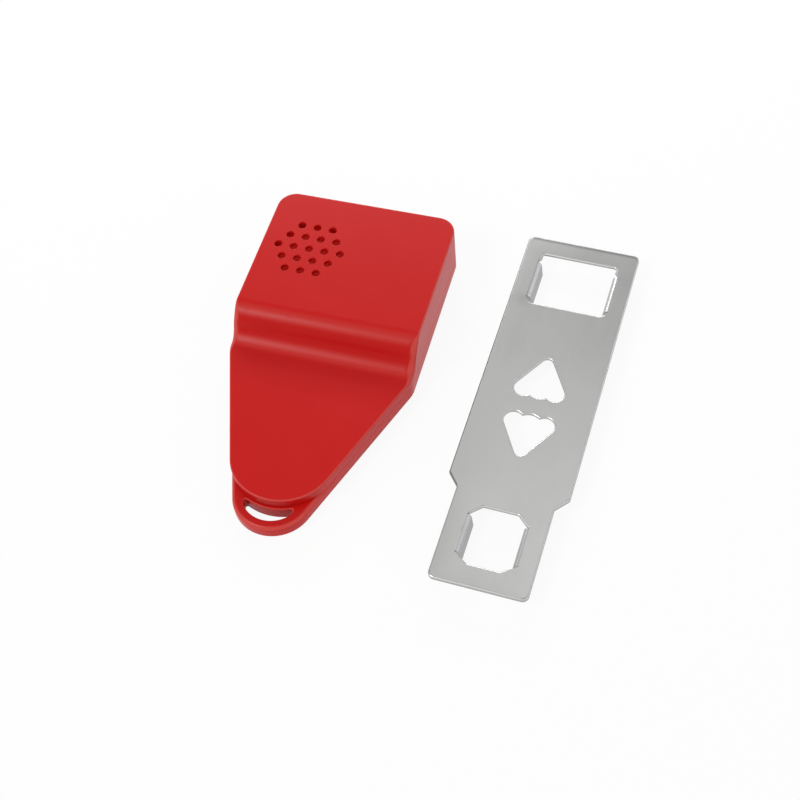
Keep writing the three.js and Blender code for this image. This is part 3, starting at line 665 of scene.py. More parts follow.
class Skin:
    # A lofted body: rings that follow the housing's outline, closed by faces made of rows across.
    def __init__(self, endRadius):
        self.right = rightSide(endRadius)
        self.points = []
        self.faces = []
        self.columns = facets["across"]
        startX = self.right[0][0]
        rear = [(-startX + 2 * startX * i / self.columns, 0.0, 0.0, 1.0) for i in range(self.columns)]
        leftSide = [(-x, y, -outX, outY) for x, y, outX, outY in self.right[-2:0:-1]]
        self.loop = rear + self.right + leftSide

    def ring(self, inset, height):
        # inset and height are numbers, or functions of the outline's y. height also takes the point's own y.
        made = []
        for x, y, outX, outY in self.loop:
            inward = inset(y) if callable(inset) else inset
            px = x - outX * inward
            py = y - outY * inward
            made.append(len(self.points))
            self.points.append((px, py, height(y, py) if callable(height) else height))
        return made

    def wall(self, first, second):
        bridge(self.faces, first, second)
        return second

    def roundUnder(self, steps, edge, bottom):
        # The lowest ring, and the last one of the rounding above it.
        ring = first = self.ring(edge, bottom)
        for sin, cos in quarterTurn(steps)[1:]:
            ring = self.wall(ring, self.ring(edge * (1 - sin), bottom + edge * (1 - cos)))
        return first, ring

    def roundOver(self, ring, steps, edge, top):
        # edge and top are functions of y: the rounding's radius, and the height of the face that it meets.
        for sin, cos in quarterTurn(steps)[1:]:
            ring = self.wall(ring, self.ring(
                lambda y: edge(y) * (1 - cos), lambda y, py: top(py) - edge(y) * (1 - sin)))
        return ring

    def close(self, ring, height):
        # Rows across from the left side's points to the right side's.
        across = self.columns
        count = len(self.right)
        last = ring[:across + 1]
        for k in range(1, count - 1):
            rightPoint = ring[across + k]
            leftPoint = ring[len(ring) - k]
            leftX, y, _ = self.points[leftPoint]
            rightX = self.points[rightPoint][0]
            row = [leftPoint]
            for i in range(1, across):
                row.append(len(self.points))
                self.points.append((leftX + (rightX - leftX) * (i / across), y, height(y)))
            row.append(rightPoint)
            bridge(self.faces, last, row, closed=False)
            last = row
        tip = ring[across + count - 1]
        for i in range(across):
            self.faces.append((last[i], last[i + 1], tip))

    def body(self, name):
        return solid(name, self.points, self.faces)


# Front cover

grille = {
    "x": -16.6,
    "y": -26.5,
    "pitch": 6.27,
    "rings": 2,  # of holes around the middle one
    "hole": 1.6,
    "lip": 0.22,  # chamfer of each hole
    "lipMiddle": (0.3, -0.35),  # its middle, out and down, as shares of it
    "depth": 4,
    "above": 1,
    "sides": 40,
}

switch = {
    "x": -13.5,
    "z": 12.5,
    "knob": (3.0, 1.8),
    "travel": 3.0,
    "proud": 1.2,
    "gap": 0.3,
    "slotFront": -3.0,
    "slotEdge": 0.25,
    "around": (8.0, 2.5),  # the slot's edges lie this near to its middle, in x and z
}

# Posts for the screws of the rear half and of the board
posts = {
    "screws": [(-28.2, -7.8), (1.2, -7.8), (-30.1, -62.4), (30.1, -62.4), (0, -118.02)],
    "board": [(-19, -77), (19, -77)],
    "radius": 3.0,
    "pilot": 1.5,
    "pilotPoint": 0.4,  # height of the pilot hole's pointed end
    "screwFoot": 7.0,
    "screwTip": 10.5,
    "boardFoot": 8.8,
    "boardTip": 9.5,
    "boardRoot": 1.2,  # below the tongue's top
    "root": 0.4,  # how far a post goes into the wall
    "sides": 32,
}

sounderSeat = {"inner": 14.3, "step": 15.8, "outer": 17.0, "shelf": 18.3, "foot": 15.3, "sides": 96}
switchCradle = {"offset": 5.3, "half": 0.5, "y": (-5.9, -1.9), "foot": 10.5}
wallRoot = 0.5  # how far the tall inner parts go into the top wall


def coverSkin():
    skin = Skin(housing["coverEnd"])
    rim = housing["parting"] + housing["partingGap"] / 2
    low = rim + housing["partingEdge"]
    first, ring = skin.roundUnder(facets["partingEdge"], housing["partingEdge"], rim)
    for i in range(1, facets["wall"] + 1):
        share = i / facets["wall"]
        ring = skin.wall(ring, skin.ring(0.0, lambda y, py: low + (topAt(y) - edgeAt(y) - low) * share))
    ring = skin.roundOver(ring, facets["topEdge"], edgeAt, topAt)
    skin.close(ring, topAt)
    wall = housing["wall"]
    depth = housing["topWall"]
    inner = skin.wall(first, skin.ring(wall, rim))
    for i in range(1, facets["innerWall"] + 1):
        share = i / facets["innerWall"]
        inner = skin.wall(inner, skin.ring(wall, lambda y, py: rim + (topAt(py, depth) - rim) * share))
    skin.close(inner, lambda y: topAt(y, depth))
    return skin.body("frontCover")


def grilleCutters():
    top, hole, lip = housing["top"], grille["hole"], grille["lip"]
    out, up = grille["lipMiddle"]
    profile = [
        (0, top - grille["depth"]), (hole, top - grille["depth"]), (hole, top - lip),
        (hole + lip * out, top + lip * up), (hole + lip, top),
        (hole + lip, top + grille["above"]), (0, top + grille["above"]),
    ]
    made = []
    rings = grille["rings"]
    for row in range(-rings, rings + 1):
        count = 2 * rings + 1 - abs(row)
        y = grille["y"] + row * grille["pitch"] * math.sin(math.pi / 3)
        for i in range(count):
            x = grille["x"] + (i - (count - 1) / 2) * grille["pitch"]
            made.append(turned("hole", x, y, profile, grille["sides"]))
    return joined(made)


def slotCutter():
    width = switch["knob"][0] / 2 + switch["gap"]
    tall = switch["knob"][1] / 2 + switch["gap"]
    x = (switch["x"] - width, switch["x"] + width + switch["travel"])
    return brick("slot", x, (switch["slotFront"], past["rear"]), (switch["z"] - tall, switch["z"] + tall))


def isSlotEdge(x, y, z):
    beside, above = switch["around"]
    return isAt(y, 0.0) and abs(x - switch["x"]) < beside and abs(z - switch["z"]) < above


def hollowPost(x, y, bottom, top, tip):
    pilot, radius = posts["pilot"], posts["radius"]
    profile = [
        (0, tip), (pilot, tip - posts["pilotPoint"]), (pilot, bottom),
        (radius, bottom), (radius, top), (0, top),
    ]
    return turned("post", x, y, profile, posts["sides"])


def screwPost(x, y, highest):
    # Where it stands under the step, its top stays inside the step's wall.
    radius = posts["radius"]
    lowest = min(topAt(y + side, housing["topWall"]) for side in (-radius, radius))
    return hollowPost(x, y, posts["screwFoot"], min(lowest + posts["root"], highest), posts["screwTip"])


def frontCover():
    cover = coverSkin()
    combine(cover, grilleCutters())
    combine(cover, slotCutter())
    softened(cover, switch["slotEdge"], isSlotEdge)
    top = housing["top"] - housing["topWall"] + wallRoot
    extras = [screwPost(x, y, top) for x, y in posts["screws"]]
    boardTop = housing["tongueTop"] - posts["boardRoot"]
    extras += [hollowPost(x, y, posts["boardFoot"], boardTop, posts["boardTip"]) for x, y in posts["board"]]
    seat = sounderSeat
    profile = [
        (seat["inner"], seat["shelf"]), (seat["inner"], top), (seat["outer"], top),
        (seat["outer"], seat["foot"]), (seat["step"], seat["foot"]), (seat["step"], seat["shelf"]),
        (seat["inner"], seat["shelf"]),
    ]
    extras.append(turned("seat", grille["x"], grille["y"], profile, seat["sides"]))
    for hand in (-1, 1):
        x = switch["x"] + hand * switchCradle["offset"]
        sides = (x - switchCradle["half"], x + switchCradle["half"])
        extras.append(brick("cradle", sides, switchCradle["y"], (switchCradle["foot"], top)))
    joined([cover, *extras])
    dress(cover, "housing", "red_plastic", ["front_shell"])


frontCover()
print("front cover ready")


# Rear half and battery door

lower = {
    "head": 2.6,  # radius of the recess for a screw's head
    "seat": 3.5,
    "holeTop": 12.0,
    "boss": 3.6,
    "bossTop": 6.7,
    "root": 0.1,  # how far bosses and collar go into the floor
    "holeSides": 48,
    "trigger": (0.0, -92.0, 6.3),  # x, y and radius of the button's hole
    "triggerTop": 6.0,
    "collar": (8.3, 9.3, 5.4),  # two radii and the top
    "triggerSides": 80,
    "slotHalf": 9.3,
    "slotNear": 11.4,
    "slotBack": 0.9,
    "slotRound": 1.1,
    "slotSteps": 40,
    "slotEdge": 0.5,
    "slotAround": (9.6, -126.0),  # its edges lie between these in x, and beyond this in y
    "loopEdge": 1.7,  # radius of the loop's upper edge
    "loopEdgeGrows": (110.0, 119.0),
    "openingEdge": 0.3,
}

# The battery's bay. The left wall's x is from the left side of the door, the rail's from its right side,
# and the front wall's from one and the other.
bay = {
    "leftWall": {"x": (-1.9, -0.3), "y": (-58.5, -2.3), "z": (1.6, 14.0)},
    "frontWall": {"x": (-1.1, 0.8), "y": (-58.5, -56.9), "z": (1.7, 13.98)},
    "leadNotch": {"x": (-6, 6), "y": (-62, -53), "z": (8, 20)},  # x is from the bay's middle
    "rail": {"x": (0.3, 1.3), "y": (-56, -7.5), "z": (3.1, 4.1)},
}

door = {
    "x": (6.4, 32.9),
    "length": 56.0,
    "lip": 0.9,
    "lipFoot": 2.1,
    "gap": 0.3,
    "grips": 4,
    "gripPitch": 2.4,
    "gripStart": 5.0,
    "gripWidth": 1.1,
    "gripDepth": 0.4,
    "gripShare": 0.5,  # of the door's width
    "gripFrom": 0.5,
    "edge": 0.22,
}


def upperEdge(y):
    # Radius of the lower half's upper edge, which is small up to the loop.
    small = housing["partingEdge"]
    return small + (lower["loopEdge"] - small) * easeAt(-y, *lower["loopEdgeGrows"])


def isUnder(x, y, z):
    return isAt(z, housing["under"])


def isKeySlotEdge(x, y, z):
    beside, near = lower["slotAround"]
    return isAt(z, housing["parting"] - housing["partingGap"] / 2) and y < near and abs(x) < beside


def lowerSkin(name):
    # The closed lower half, before anything is hollowed out of it.
    skin = Skin(housing["loopEnd"])
    under = housing["under"]
    top = housing["parting"] - housing["partingGap"] / 2
    first, ring = skin.roundUnder(facets["lowerEdges"], housing["lowEdge"], under)
    ring = skin.wall(ring, skin.ring(0.0, lambda y, py: top - upperEdge(y)))
    ring = skin.roundOver(ring, facets["lowerEdges"], upperEdge, lambda y: top)
    skin.close(ring, lambda y: top)
    skin.close(first, lambda y: under)
    return skin.body(name)


def keySlot():
    # A crescent with rounded ends, between the loop's inner arc and the cover's end.
    near = lower["slotNear"]
    far = housing["coverEnd"] + lower["slotBack"]
    half = lower["slotHalf"]
    straight = half - lower["slotRound"]
    steps = lower["slotSteps"]
    upper, under = [], []
    for i in range(steps + 1):
        x = -half * math.cos(math.pi * i / steps)
        nearY = endMiddle(housing["loopEnd"]) - math.sqrt(near ** 2 - x ** 2)
        farY = endMiddle(housing["coverEnd"]) - math.sqrt(far ** 2 - x ** 2)
        share = max(0.0, (abs(x) - straight) / (half - straight))
        tall = (farY - nearY) / 2 * math.sqrt(max(0.0, 1 - share ** 2))
        middle = (farY + nearY) / 2
        upper.append((x, middle + tall))
        under.append((x, middle - tall))
    return slab("keySlot", upper + under[-2:0:-1], past["below"], past["above"])


def doorway(gap):
    left, right = door["x"]
    y = (-door["length"] - gap, past["rear"])
    top = housing["floor"] + gap
    reach = door["lip"] + gap
    way = brick("doorway", (left - gap, right + gap), y, (past["below"], top))
    wide = brick("doorwayLips", (left - reach, right + reach), y, (door["lipFoot"] - gap, top))
    combine(way, wide, "UNION")
    return way


def bayPart(name, first, last):
    # A brick of the bay, whose two x values are from first and from last.
    part = bay[name]
    return brick(name, (first + part["x"][0], last + part["x"][1]), part["y"], part["z"])


def addBay(half):
    left, right = door["x"]
    middle = (left + right) / 2
    front = bayPart("frontWall", left, right)
    combine(front, bayPart("leadNotch", middle, middle))
    for part in (bayPart("leftWall", left, left), front, bayPart("rail", right, right)):
        combine(half, part, "UNION")


def lowerHoles():
    head, pilot, seat, top = lower["head"], posts["pilot"], lower["seat"], lower["holeTop"]
    below = past["below"]
    profile = [(0, below), (head, below), (head, seat), (pilot, seat), (pilot, top), (0, top)]
    holes = [turned("screwHole", x, y, profile, lower["holeSides"]) for x, y in posts["screws"]]
    x, y, radius = lower["trigger"]
    profile = [(0, below), (radius, below), (radius, lower["triggerTop"]), (0, lower["triggerTop"])]
    holes.append(turned("triggerHole", x, y, profile, lower["triggerSides"]))
    holes.append(keySlot())
    return joined(holes)


def bossesAndCollar():
    head, pilot, seat, top = lower["head"], posts["pilot"], lower["seat"], lower["bossTop"]
    foot = housing["floor"] - lower["root"]
    profile = [
        (head, foot), (lower["boss"], foot), (lower["boss"], top), (pilot, top), (pilot, seat), (head, seat),
        (head, foot),
    ]
    made = [turned("boss", x, y, profile, lower["holeSides"]) for x, y in posts["screws"]]
    inner, outer, high = lower["collar"]
    profile = [(inner, foot), (outer, foot), (outer, high), (inner, high), (inner, foot)]
    made.append(turned("collar", *lower["trigger"][:2], profile, lower["triggerSides"]))
    return made


def rearHalf():
    half = lowerSkin("rearHalf")
    wall = housing["wall"]
    outline = [(x - outX * wall, y - outY * wall) for x, y, outX, outY in Skin(housing["coverEnd"]).loop]
    combine(half, slab("cavity", outline, housing["floor"], past["above"]))
    addBay(half)
    combine(half, lowerHoles())
    combine(half, doorway(door["gap"]))
    softened(half, lower["openingEdge"], isUnder)
    softened(half, lower["slotEdge"], isKeySlotEdge)
    joined([half, *bossesAndCollar()])
    dress(half, "housing", "red_plastic", ["rear_shell"])


def batteryDoor():
    panel = lowerSkin("slidingDoor")
    combine(panel, doorway(0.0), "INTERSECT")
    left, right = door["x"]
    middle = (left + right) / 2
    reach = (right - left) / 2 * door["gripShare"]
    wide = door["gripWidth"] / 2
    z = (door["gripFrom"], housing["under"] + door["gripDepth"])
    grips = []
    for i in range(door["grips"]):
        y = -door["gripStart"] - i * door["gripPitch"]
        grips.append(brick("grip", (middle - reach, middle + reach), (y - wide, y + wide), z))
    combine(panel, joined(grips))
    softened(panel, door["edge"], isUnder)
    dress(panel, "door", "red_plastic", ["battery_door"])


rearHalf()
batteryDoor()
print("rear half and battery door ready")


# Small parts of the underside and the rear end

foot = {
    "places": [(-28.2, -20.0), (1.2, -20.0), (-30.1, -69.4), (30.1, -69.4), (0.0, -106.0)],
    "radius": 3.4,
    "top": 0.9,
    "edge": 0.35,
    "edgeSteps": 5,
    "hollow": 0.12,
    "hollowFrom": (0.9, 1.1),  # where it starts and is full, inwards from the side
    "sides": 64,
}

screwShape = {
    "head": 2.3,
    "under": 1.8,
    "seat": 3.2,
    "dome": 0.6,
    "domeSteps": 6,
    "shank": 1.2,
    "root": 0.95,
    "tip": 10.2,
    "point": 1.2,
    "pitch": 0.9,
    "threadRise": 0.45,  # of a turn, up to the crest
    "threadFall": 0.9,  # and down to the root again
    "threadStart": 0.4,
    "threadClear": 1.6,  # from the tip
    "crossArm": 1.3,
    "crossSlit": 0.33,
    "crossDepth": 0.8,
    "sides": 40,
}

button = {
    "radius": 6.0,
    "bottom": 0.2,
    "bevel": 0.7,
    "bevelSteps": 5,
    "dish": [(0, 0.3), (2.4, 0.22), (4.2, 0.05)],  # radius and how far it hollows the underside
    "flange": 8.0,
    "flangeFoot": 3.1,
    "flangeTop": 4.1,
    "travel": 0.6,
    "sides": 80,
}

spring = {"radius": 5.5, "wire": 0.3, "bottom": 4.7, "top": 6.7, "turns": 1.75, "sides": 10, "steps": 112}

knob = {
    "inner": -3.8,
    "grooves": (-0.75, 0, 0.75),
    "grooveHalf": 0.17,
    "grooveDepth": 0.22,
    "grooveReach": 2,
    "edge": 0.1,
    "edgeSteps": 2,
    "edgesFrom": 0.5,  # only edges beyond this in y are rounded
}

cell = {
    "corner": 2.6,
    "cornerSteps": 6,
    "crimp": 0.7,
    "crimpSteps": 5,
    "rim": 1.3,
    "recess": 0.45,
    "gap": 0.1,  # between the sleeve's rims and the end plates
}


def rubberFoot(name, node, x, y):
    radius, edge, hollow = foot["radius"], foot["edge"], foot["hollow"]
    profile = [(0, foot["top"]), (radius, foot["top"])]
    profile += [(radius - edge * (1 - cos), edge * (1 - sin)) for sin, cos in quarterTurn(foot["edgeSteps"])]
    start, full = foot["hollowFrom"]
    profile += [(radius - start, 0.0), (radius - full, hollow), (0, hollow)]
    dress(turned(name, x, y, profile, foot["sides"]), "housing", "rubber", [node])


def screwProfile():
    shape = screwShape
    head, under, dome, root = shape["head"], shape["under"], shape["dome"], shape["root"]
    profile = [(0, under)]
    profile += [
        (head - dome + dome * sin, under + dome * (1 - cos)) for sin, cos in quarterTurn(shape["domeSteps"])]
    profile += [(head, shape["seat"]), (shape["shank"], shape["seat"])]
    z = shape["seat"] + shape["threadStart"]
    while z < shape["tip"] - shape["threadClear"]:
        crest = z + shape["pitch"] * shape["threadRise"]
        profile += [(root, z), (shape["shank"], crest), (root, z + shape["pitch"] * shape["threadFall"])]
        z += shape["pitch"]
    return profile + [(root, shape["tip"] - shape["point"]), (0, shape["tip"])]


def housingScrew(name, node, x, y):
    arm, slit = screwShape["crossArm"], screwShape["crossSlit"]
    z = (0, screwShape["under"] + screwShape["crossDepth"])
    cross = brick("crossA", (x - arm, x + arm), (y - slit, y + slit), z)
    combine(cross, brick("crossB", (x - slit, x + slit), (y - arm, y + arm), z), "UNION")
    made = turned(name, x, y, screwProfile(), screwShape["sides"])
    combine(made, cross)
    dress(made, "housing", "screw_steel", [node])


def triggerButton():
    x, y, _ = lower["trigger"]
    radius, bottom, bevel, flange = (button[key] for key in ("radius", "bottom", "bevel", "flange"))
    profile = [(reach, bottom + deep) for reach, deep in button["dish"]]
    profile += [
        (radius - bevel + bevel * sin, bottom + bevel * (1 - cos))
        for sin, cos in quarterTurn(button["bevelSteps"])]
    profile += [
        (radius, button["flangeFoot"]), (flange, button["flangeFoot"]), (flange, button["flangeTop"]),
        (0, button["flangeTop"]),
    ]
    made = turned("senseButton", x, y, profile, button["sides"])
    dress(made, "trigger", "black_plastic", ["trigger_button"])


def triggerSpring():
    # A wire along a helix under the board.
    x, y, _ = lower["trigger"]
    wire, sides, low, high = spring["wire"], spring["sides"], spring["bottom"], spring["top"]
    rows, points = [], []
    for i in range(spring["steps"] + 1):
        share = i / spring["steps"]
        turn = 2 * math.pi * spring["turns"] * share
        middle = low + (high - low) * share
        rows.append(list(range(len(points), len(points) + sides)))
        for k in range(sides):
            angle = 2 * math.pi * k / sides
            reach = spring["radius"] + wire * math.cos(angle)
            z = middle + wire * math.sin(angle)
            points.append((x + reach * math.cos(turn), y + reach * math.sin(turn), z))
    made = tube("pressSpring", rows, points)
    dress(made, "housing", "screw_steel", ["trigger_spring"])
    seat = high + wire
    tall = seat - low + wire
    keep = (tall - button["travel"]) / tall
    inFrame((x, y, seat))
    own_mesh(made)


def slidingKnob():
    half, tall = switch["knob"][0] / 2, switch["knob"][1] / 2
    x, z, proud, reach = switch["x"], switch["z"], switch["proud"], knob["grooveReach"]
    made = brick("slidingKnob", (x - half, x + half), (knob["inner"], proud), (z - tall, z + tall))
    for offset in knob["grooves"]:
        sides = (x + offset - knob["grooveHalf"], x + offset + knob["grooveHalf"])
        groove = brick("groove", sides, (proud - knob["grooveDepth"], past["rear"]), (z - reach, z + reach))
        combine(made, groove)
    softened(made, knob["edge"], lambda px, py, pz: py > knob["edgesFrom"], knob["edgeSteps"])
    dress(made, "knob", "black_plastic", ["switch_knob"])


def lengthways(name, x, z, stations):
    # A rounded box along Y, from pairs of a place along it and how far the section draws in there.
    points, rows = [], []
    corner = cell["corner"]
    middle = ((x[0] + x[1]) / 2, (z[0] + z[1]) / 2)
    halfX, halfZ = (x[1] - x[0]) / 2, (z[1] - z[0]) / 2
    for y, inset in stations:
        row = []
        radius = corner - inset
        for quarter, (sideX, sideZ) in enumerate([(1, 1), (-1, 1), (-1, -1), (1, -1)]):
            for i in range(cell["cornerSteps"] + 1):
                angle = math.pi / 2 * (quarter + i / cell["cornerSteps"])
                row.append(len(points))
                points.append((middle[0] + sideX * (halfX - corner) + radius * math.cos(angle), y,
                               middle[1] + sideZ * (halfZ - corner) + radius * math.sin(angle)))
        rows.append(row)
    return tube(name, rows, points)


def nineVolt():
    # A crimped metal sleeve, and dark end plates that lie a little below its rims.
    low, high = (outOfFrame(corner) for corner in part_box("battery"))
    x, z = (low[0], high[0]), (low[2], high[2])
    start, end = low[1], high[1]
    crimp, rim, recess, gap = (cell[key] for key in ("crimp", "rim", "recess", "gap"))
    bend = [(crimp * (1 - sin), crimp * (1 - cos)) for sin, cos in quarterTurn(cell["crimpSteps"])]
    front = [(start + recess, rim), (start, rim - gap)]
    front += [(start + along, inset) for along, inset in reversed(bend)]
    back = [(end - along, inset) for along, inset in bend]
    back += [(end, rim - gap), (end - recess, rim)]
    dress(lengthways("batterySleeve", x, z, front + back), "housing", "battery_blue", ["battery"])
    spans = [(start + gap, start + recess), (end - recess, end - gap)]
    ends = joined([lengthways("batteryEnds", x, z, [(y, rim + gap) for y in span]) for span in spans])
    dress(ends, "housing", "black_plastic", [])


for number, (footX, footY) in enumerate(foot["places"], 1):
    rubberFoot(f"rubberFoot{number}", f"rubber_pad_{number}", footX, footY)
for number, (screwX, screwY) in enumerate(posts["screws"], 1):
    housingScrew(f"housingScrew{number}", f"housing_screw_{number}", screwX, screwY)
triggerButton()
triggerSpring()
slidingKnob()
nineVolt()
print("feet, screws, button, knob and battery ready")


# Latch plate: a flat pattern with its tabs, bent down and given its thickness. Its own zero is the middle
# of its far edge.

plate = {
    "x": 84.1,
    "y": 10.4,
    "turn": math.radians(-1.7),
    "top": 7.8,
    "thickness": 1.5,
    "half": 22.0,
    "narrowHalf": 17.7,
    "length": 154.3,
    "corner": 2.4,
    "shoulder": (112.8, 117.7, 1.2),  # start and end from the far edge, and the corners' radius
    "lean": math.radians(4),
    "bendRadius": 0.5,
    "bendSteps": 10,
    "arcStep": math.radians(7),
    "farCorner": 0.8,  # radii of the windows' corners
    "nearCorner": {"wedge": 2.2, "strike": 1.4},
    "rimEdge": 0.6,
    "windowEdge": 0.65,
    "weld": 0.001,
    "flat": math.radians(0.5),
    "mostCorners": 8,  # faces with more are cut into triangles
    "smooth": 40,
}

# Points lie on the outer edge beyond these: near the sides, the two ends, and from a little before the
# shoulder on.
rimBand = {"side": 2.6, "far": -4, "near": -148, "shoulder": 3, "narrow": 16}

# The right half of each window, as pairs of a distance from the middle line and one from the far edge
windows = {
    "wedge": [(14.5, 8.0), (14.5, 10.3), (16.1, 12.4), (16.1, 29.5), (13.8, 32.4)],
    "strike": [(6.3, 123.3), (10.1, 126.8), (11.4, 127.4), (11.4, 142.5), (5.8, 146.0)],
}

triangle = {
    "apex": 56.4,
    "base": 74.4,
    "gap": 7.4,  # between the two triangles' bases
    "apexRadius": 2.2,
    "lobeX": 5.8,
    "lobe": 3.6,
    "rise": 1.1,
}

platedSteel = {
    "colour": (0.41, 0.41, 0.404, 1),
    "dull": (0.385, 0.385, 0.38, 1),
    "cloud": 22,
    "marks": 0.9,
    "marksStretch": (1.0, 0.06, 1.0),
    "rollDepth": 0.003,
    "roughness": (0.22, 0.32),
    "marksRoughness": 0.06,
    "bendRoughness": 0.2,
    # Painted shade: soft dark patches beside the windows' bends, with their share, fall-off and places.
    "bendShade": (0.24, 0.245, 0.245, 1),
    "bendShadeShare": 0.6,
    "bendShadeStops": [(0.0, 1.0), (0.35, 0.62), (1.0, 0.0)],
    "bendShadeSpots": [(31.8, 46.4, 4.6), (66.7, 64.0, 4.2), (64.5, 77.2, 2.4), (35.5, -56.0, 2.6)],  # place, size
    # Painted shade: the far end darker, and a darker line beside the far edge.
    "farEnd": (0.33, 0.33, 0.326, 1),
    "farEndReach": 66.667,  # from the far edge
    "farEndStops": [(0.0, 1.0), (0.55, 0.45), (1.0, 0.0)],
    "farLine": (0.17, 0.18, 0.176, 1),  # painted shade beside the far edge
    "farLineReach": 5,
    "farLineStops": [(0.1, 0.0), (0.16, 0.85), (0.26, 0.7), (0.42, 0.0)],
    "cut": (0.29, 0.29, 0.295, 1),  # painted shade on upright faces
    "cutStops": [(0.12, 1.0), (0.4, 0.0)],  # by how far up the surface faces, as in rimStops and lineStops
    "nearStops": [(0.3, 1.0), (0.7, 0.2)],  # by how far it faces the near end
    # Painted highlight on the rounded rims, with painted shade on the left side's rim.
    "rim": (0.60, 0.60, 0.59, 1),
    "rimStops": [(0.15, 0.0), (0.5, 1.0), (0.93, 1.0), (0.975, 0.0)],
    "leftRim": (0.20, 0.20, 0.20, 1),
    "leftReach": 20,  # from the middle line
    "leftStops": [(0.82, 0.0), (0.9, 1.0)],
    # Painted highlight on the bends, less bright than on the other rims.
    "bend": (0.50, 0.50, 0.51, 1),
    "bendStops": [(0.25, 0.0), (0.45, 1.0)],  # by how far it faces sideways
    # Painted shade: a thin dark line where the rims start, in the upright faces' tone.
    "lineStops": [(0.96, 0.0), (0.975, 0.9), (0.99, 0.9), (0.999, 0.0)],
    "lineEndStops": [(0.08, 0.0), (0.13, 1.0)],  # by how far it faces along the plate
}

bendOuter = plate["bendRadius"] + plate["thickness"]
bendSweep = math.pi / 2 - plate["lean"]
bendCentre = plate["top"] - bendOuter
bendLength = bendOuter * bendSweep
tabLength = bendLength + (bendCentre + bendOuter * math.sin(plate["lean"])) / math.cos(plate["lean"])


def brushed(name, settings):
    # Plated sheet: faint rolling marks along its length, slow changes of gloss, painted shade by the bends
    # and
    #     # at the far end, and painted highlights and shade on its rims and upright faces.
    finish = Finish(name, {"Metallic": 1.0})
    where = finish.node("ShaderNodeTexCoord", output="Object")
    cloud = finish.noise(settings["cloud"])
    marks = finish.noise(settings["marks"], stretch=settings["marksStretch"])
    tone = finish.blend(cloud, settings["colour"], settings["dull"])
    # Painted shade: soft dark patches beside the windows' bends.
    for x, y, size in settings["bendShadeSpots"]:
        spot = (x * millimetre, y * millimetre, plate["top"] * millimetre)
        away = finish.vector("DISTANCE", where, spot) * (1 / (size * millimetre))
        near = settings["bendShadeShare"] * finish.ramp(away, settings["bendShadeStops"])
        tone = finish.blend(near, tone, settings["bendShade"])
    # Distances in mm from the far edge, and to the left of the middle line. Painted shade makes the far
    #     # end darker, with a darker line along its edge.
    middle = Vector(inFrame((plate["x"], plate["y"], 0.0)))
    back = Vector((math.sin(plate["turn"]), -math.cos(plate["turn"]), 0.0)) / millimetre
    aside = Vector((back.y, -back.x, 0.0))
    reach, left = (
        finish.vector("DOT_PRODUCT", where, tuple(way)) - middle.dot(way) for way in (back, aside))
    for key in ("farEnd", "farLine"):
        share = finish.ramp(reach * (1 / settings[key + "Reach"]), settings[key + "Stops"])
        tone = finish.blend(share, tone, settings[key])
    across, along, level = (finish.along(axis) for axis in range(3))
    level = abs(level)
    # Painted shade on upright faces, less where they face the near end.
    upright = finish.ramp(level, settings["cutStops"]) * finish.ramp(-1.0 * along, settings["nearStops"])
    # Painted highlight on the rounded rims, with painted shade on the left side's rim and less highlight on
    # the bends.
    rims = finish.ramp(level, settings["rimStops"])
    outer = finish.ramp(left * (1 / settings["leftReach"]), settings["leftStops"])
    bends = rims * (1.0 - outer) * finish.ramp(abs(across), settings["bendStops"])
    # A thin painted dark line where the rims start.
    line = finish.ramp(level, settings["lineStops"]) * finish.ramp(abs(along), settings["lineEndStops"])
    layers = [(upright, "cut"), (rims, "rim"), (rims * outer, "leftRim"), (bends, "bend"), (line, "cut")]
    for share, key in layers:
        tone = finish.blend(share, tone, settings[key])
    low, high = settings["roughness"]
    rough = low + (high - low) * cloud + settings["marksRoughness"] * marks
    rough = rough + settings["bendRoughness"] * bends
    finish.feed("Base Color", tone)
    finish.feed("Roughness", rough)
    finish.feed("Normal", finish.bump(marks, settings["rollDepth"]))
    return finish.material


def arcPoints(x, y, radius, start, end):
    steps = max(2, math.ceil(abs(end - start) / plate["arcStep"]))
    angles = [start + (end - start) * i / steps for i in range(steps + 1)]
    return [(x + radius * math.cos(angle), y + radius * math.sin(angle)) for angle in angles]


def roundedOutline(corners):
    # corners holds x, y and radius.
    made = []
    for i, (x, y, radius) in enumerate(corners):
        if radius == 0:
            made.append((x, y))
            continue
        here = Vector((x, y))
        back = (Vector(corners[i - 1][:2]) - here).normalized()
        ahead = (Vector(corners[(i + 1) % len(corners)][:2]) - here).normalized()
        half = math.acos(max(-1.0, min(1.0, back.dot(ahead)))) / 2
        centre = here + (back + ahead).normalized() * (radius / math.sin(half))
        first = here + back * (radius / math.tan(half)) - centre
        last = here + ahead * (radius / math.tan(half)) - centre
        start = math.atan2(first.y, first.x)
        turn = math.atan2(last.y, last.x) - start
        turn = math.atan2(math.sin(turn), math.cos(turn))
        made += arcPoints(centre.x, centre.y, radius, start, start + turn)
    return made


def mirroredCorners(half):
    return half + [(-x, y, radius) for x, y, radius in reversed(half)]


def plateOutline():
    start, end, radius = plate["shoulder"]
    return roundedOutline(mirroredCorners([
        (plate["half"], 0.0, plate["corner"]), (plate["half"], -start, radius),
        (plate["narrowHalf"], -end, radius), (plate["narrowHalf"], -plate["length"], plate["corner"])]))


def windowOutline(name):
    rounds = [plate["farCorner"], 0, 0, 0, plate["nearCorner"][name]]
    half = [(x, -along, radius) for (x, along), radius in zip(windows[name], rounds)]
    return roundedOutline(mirroredCorners(half))


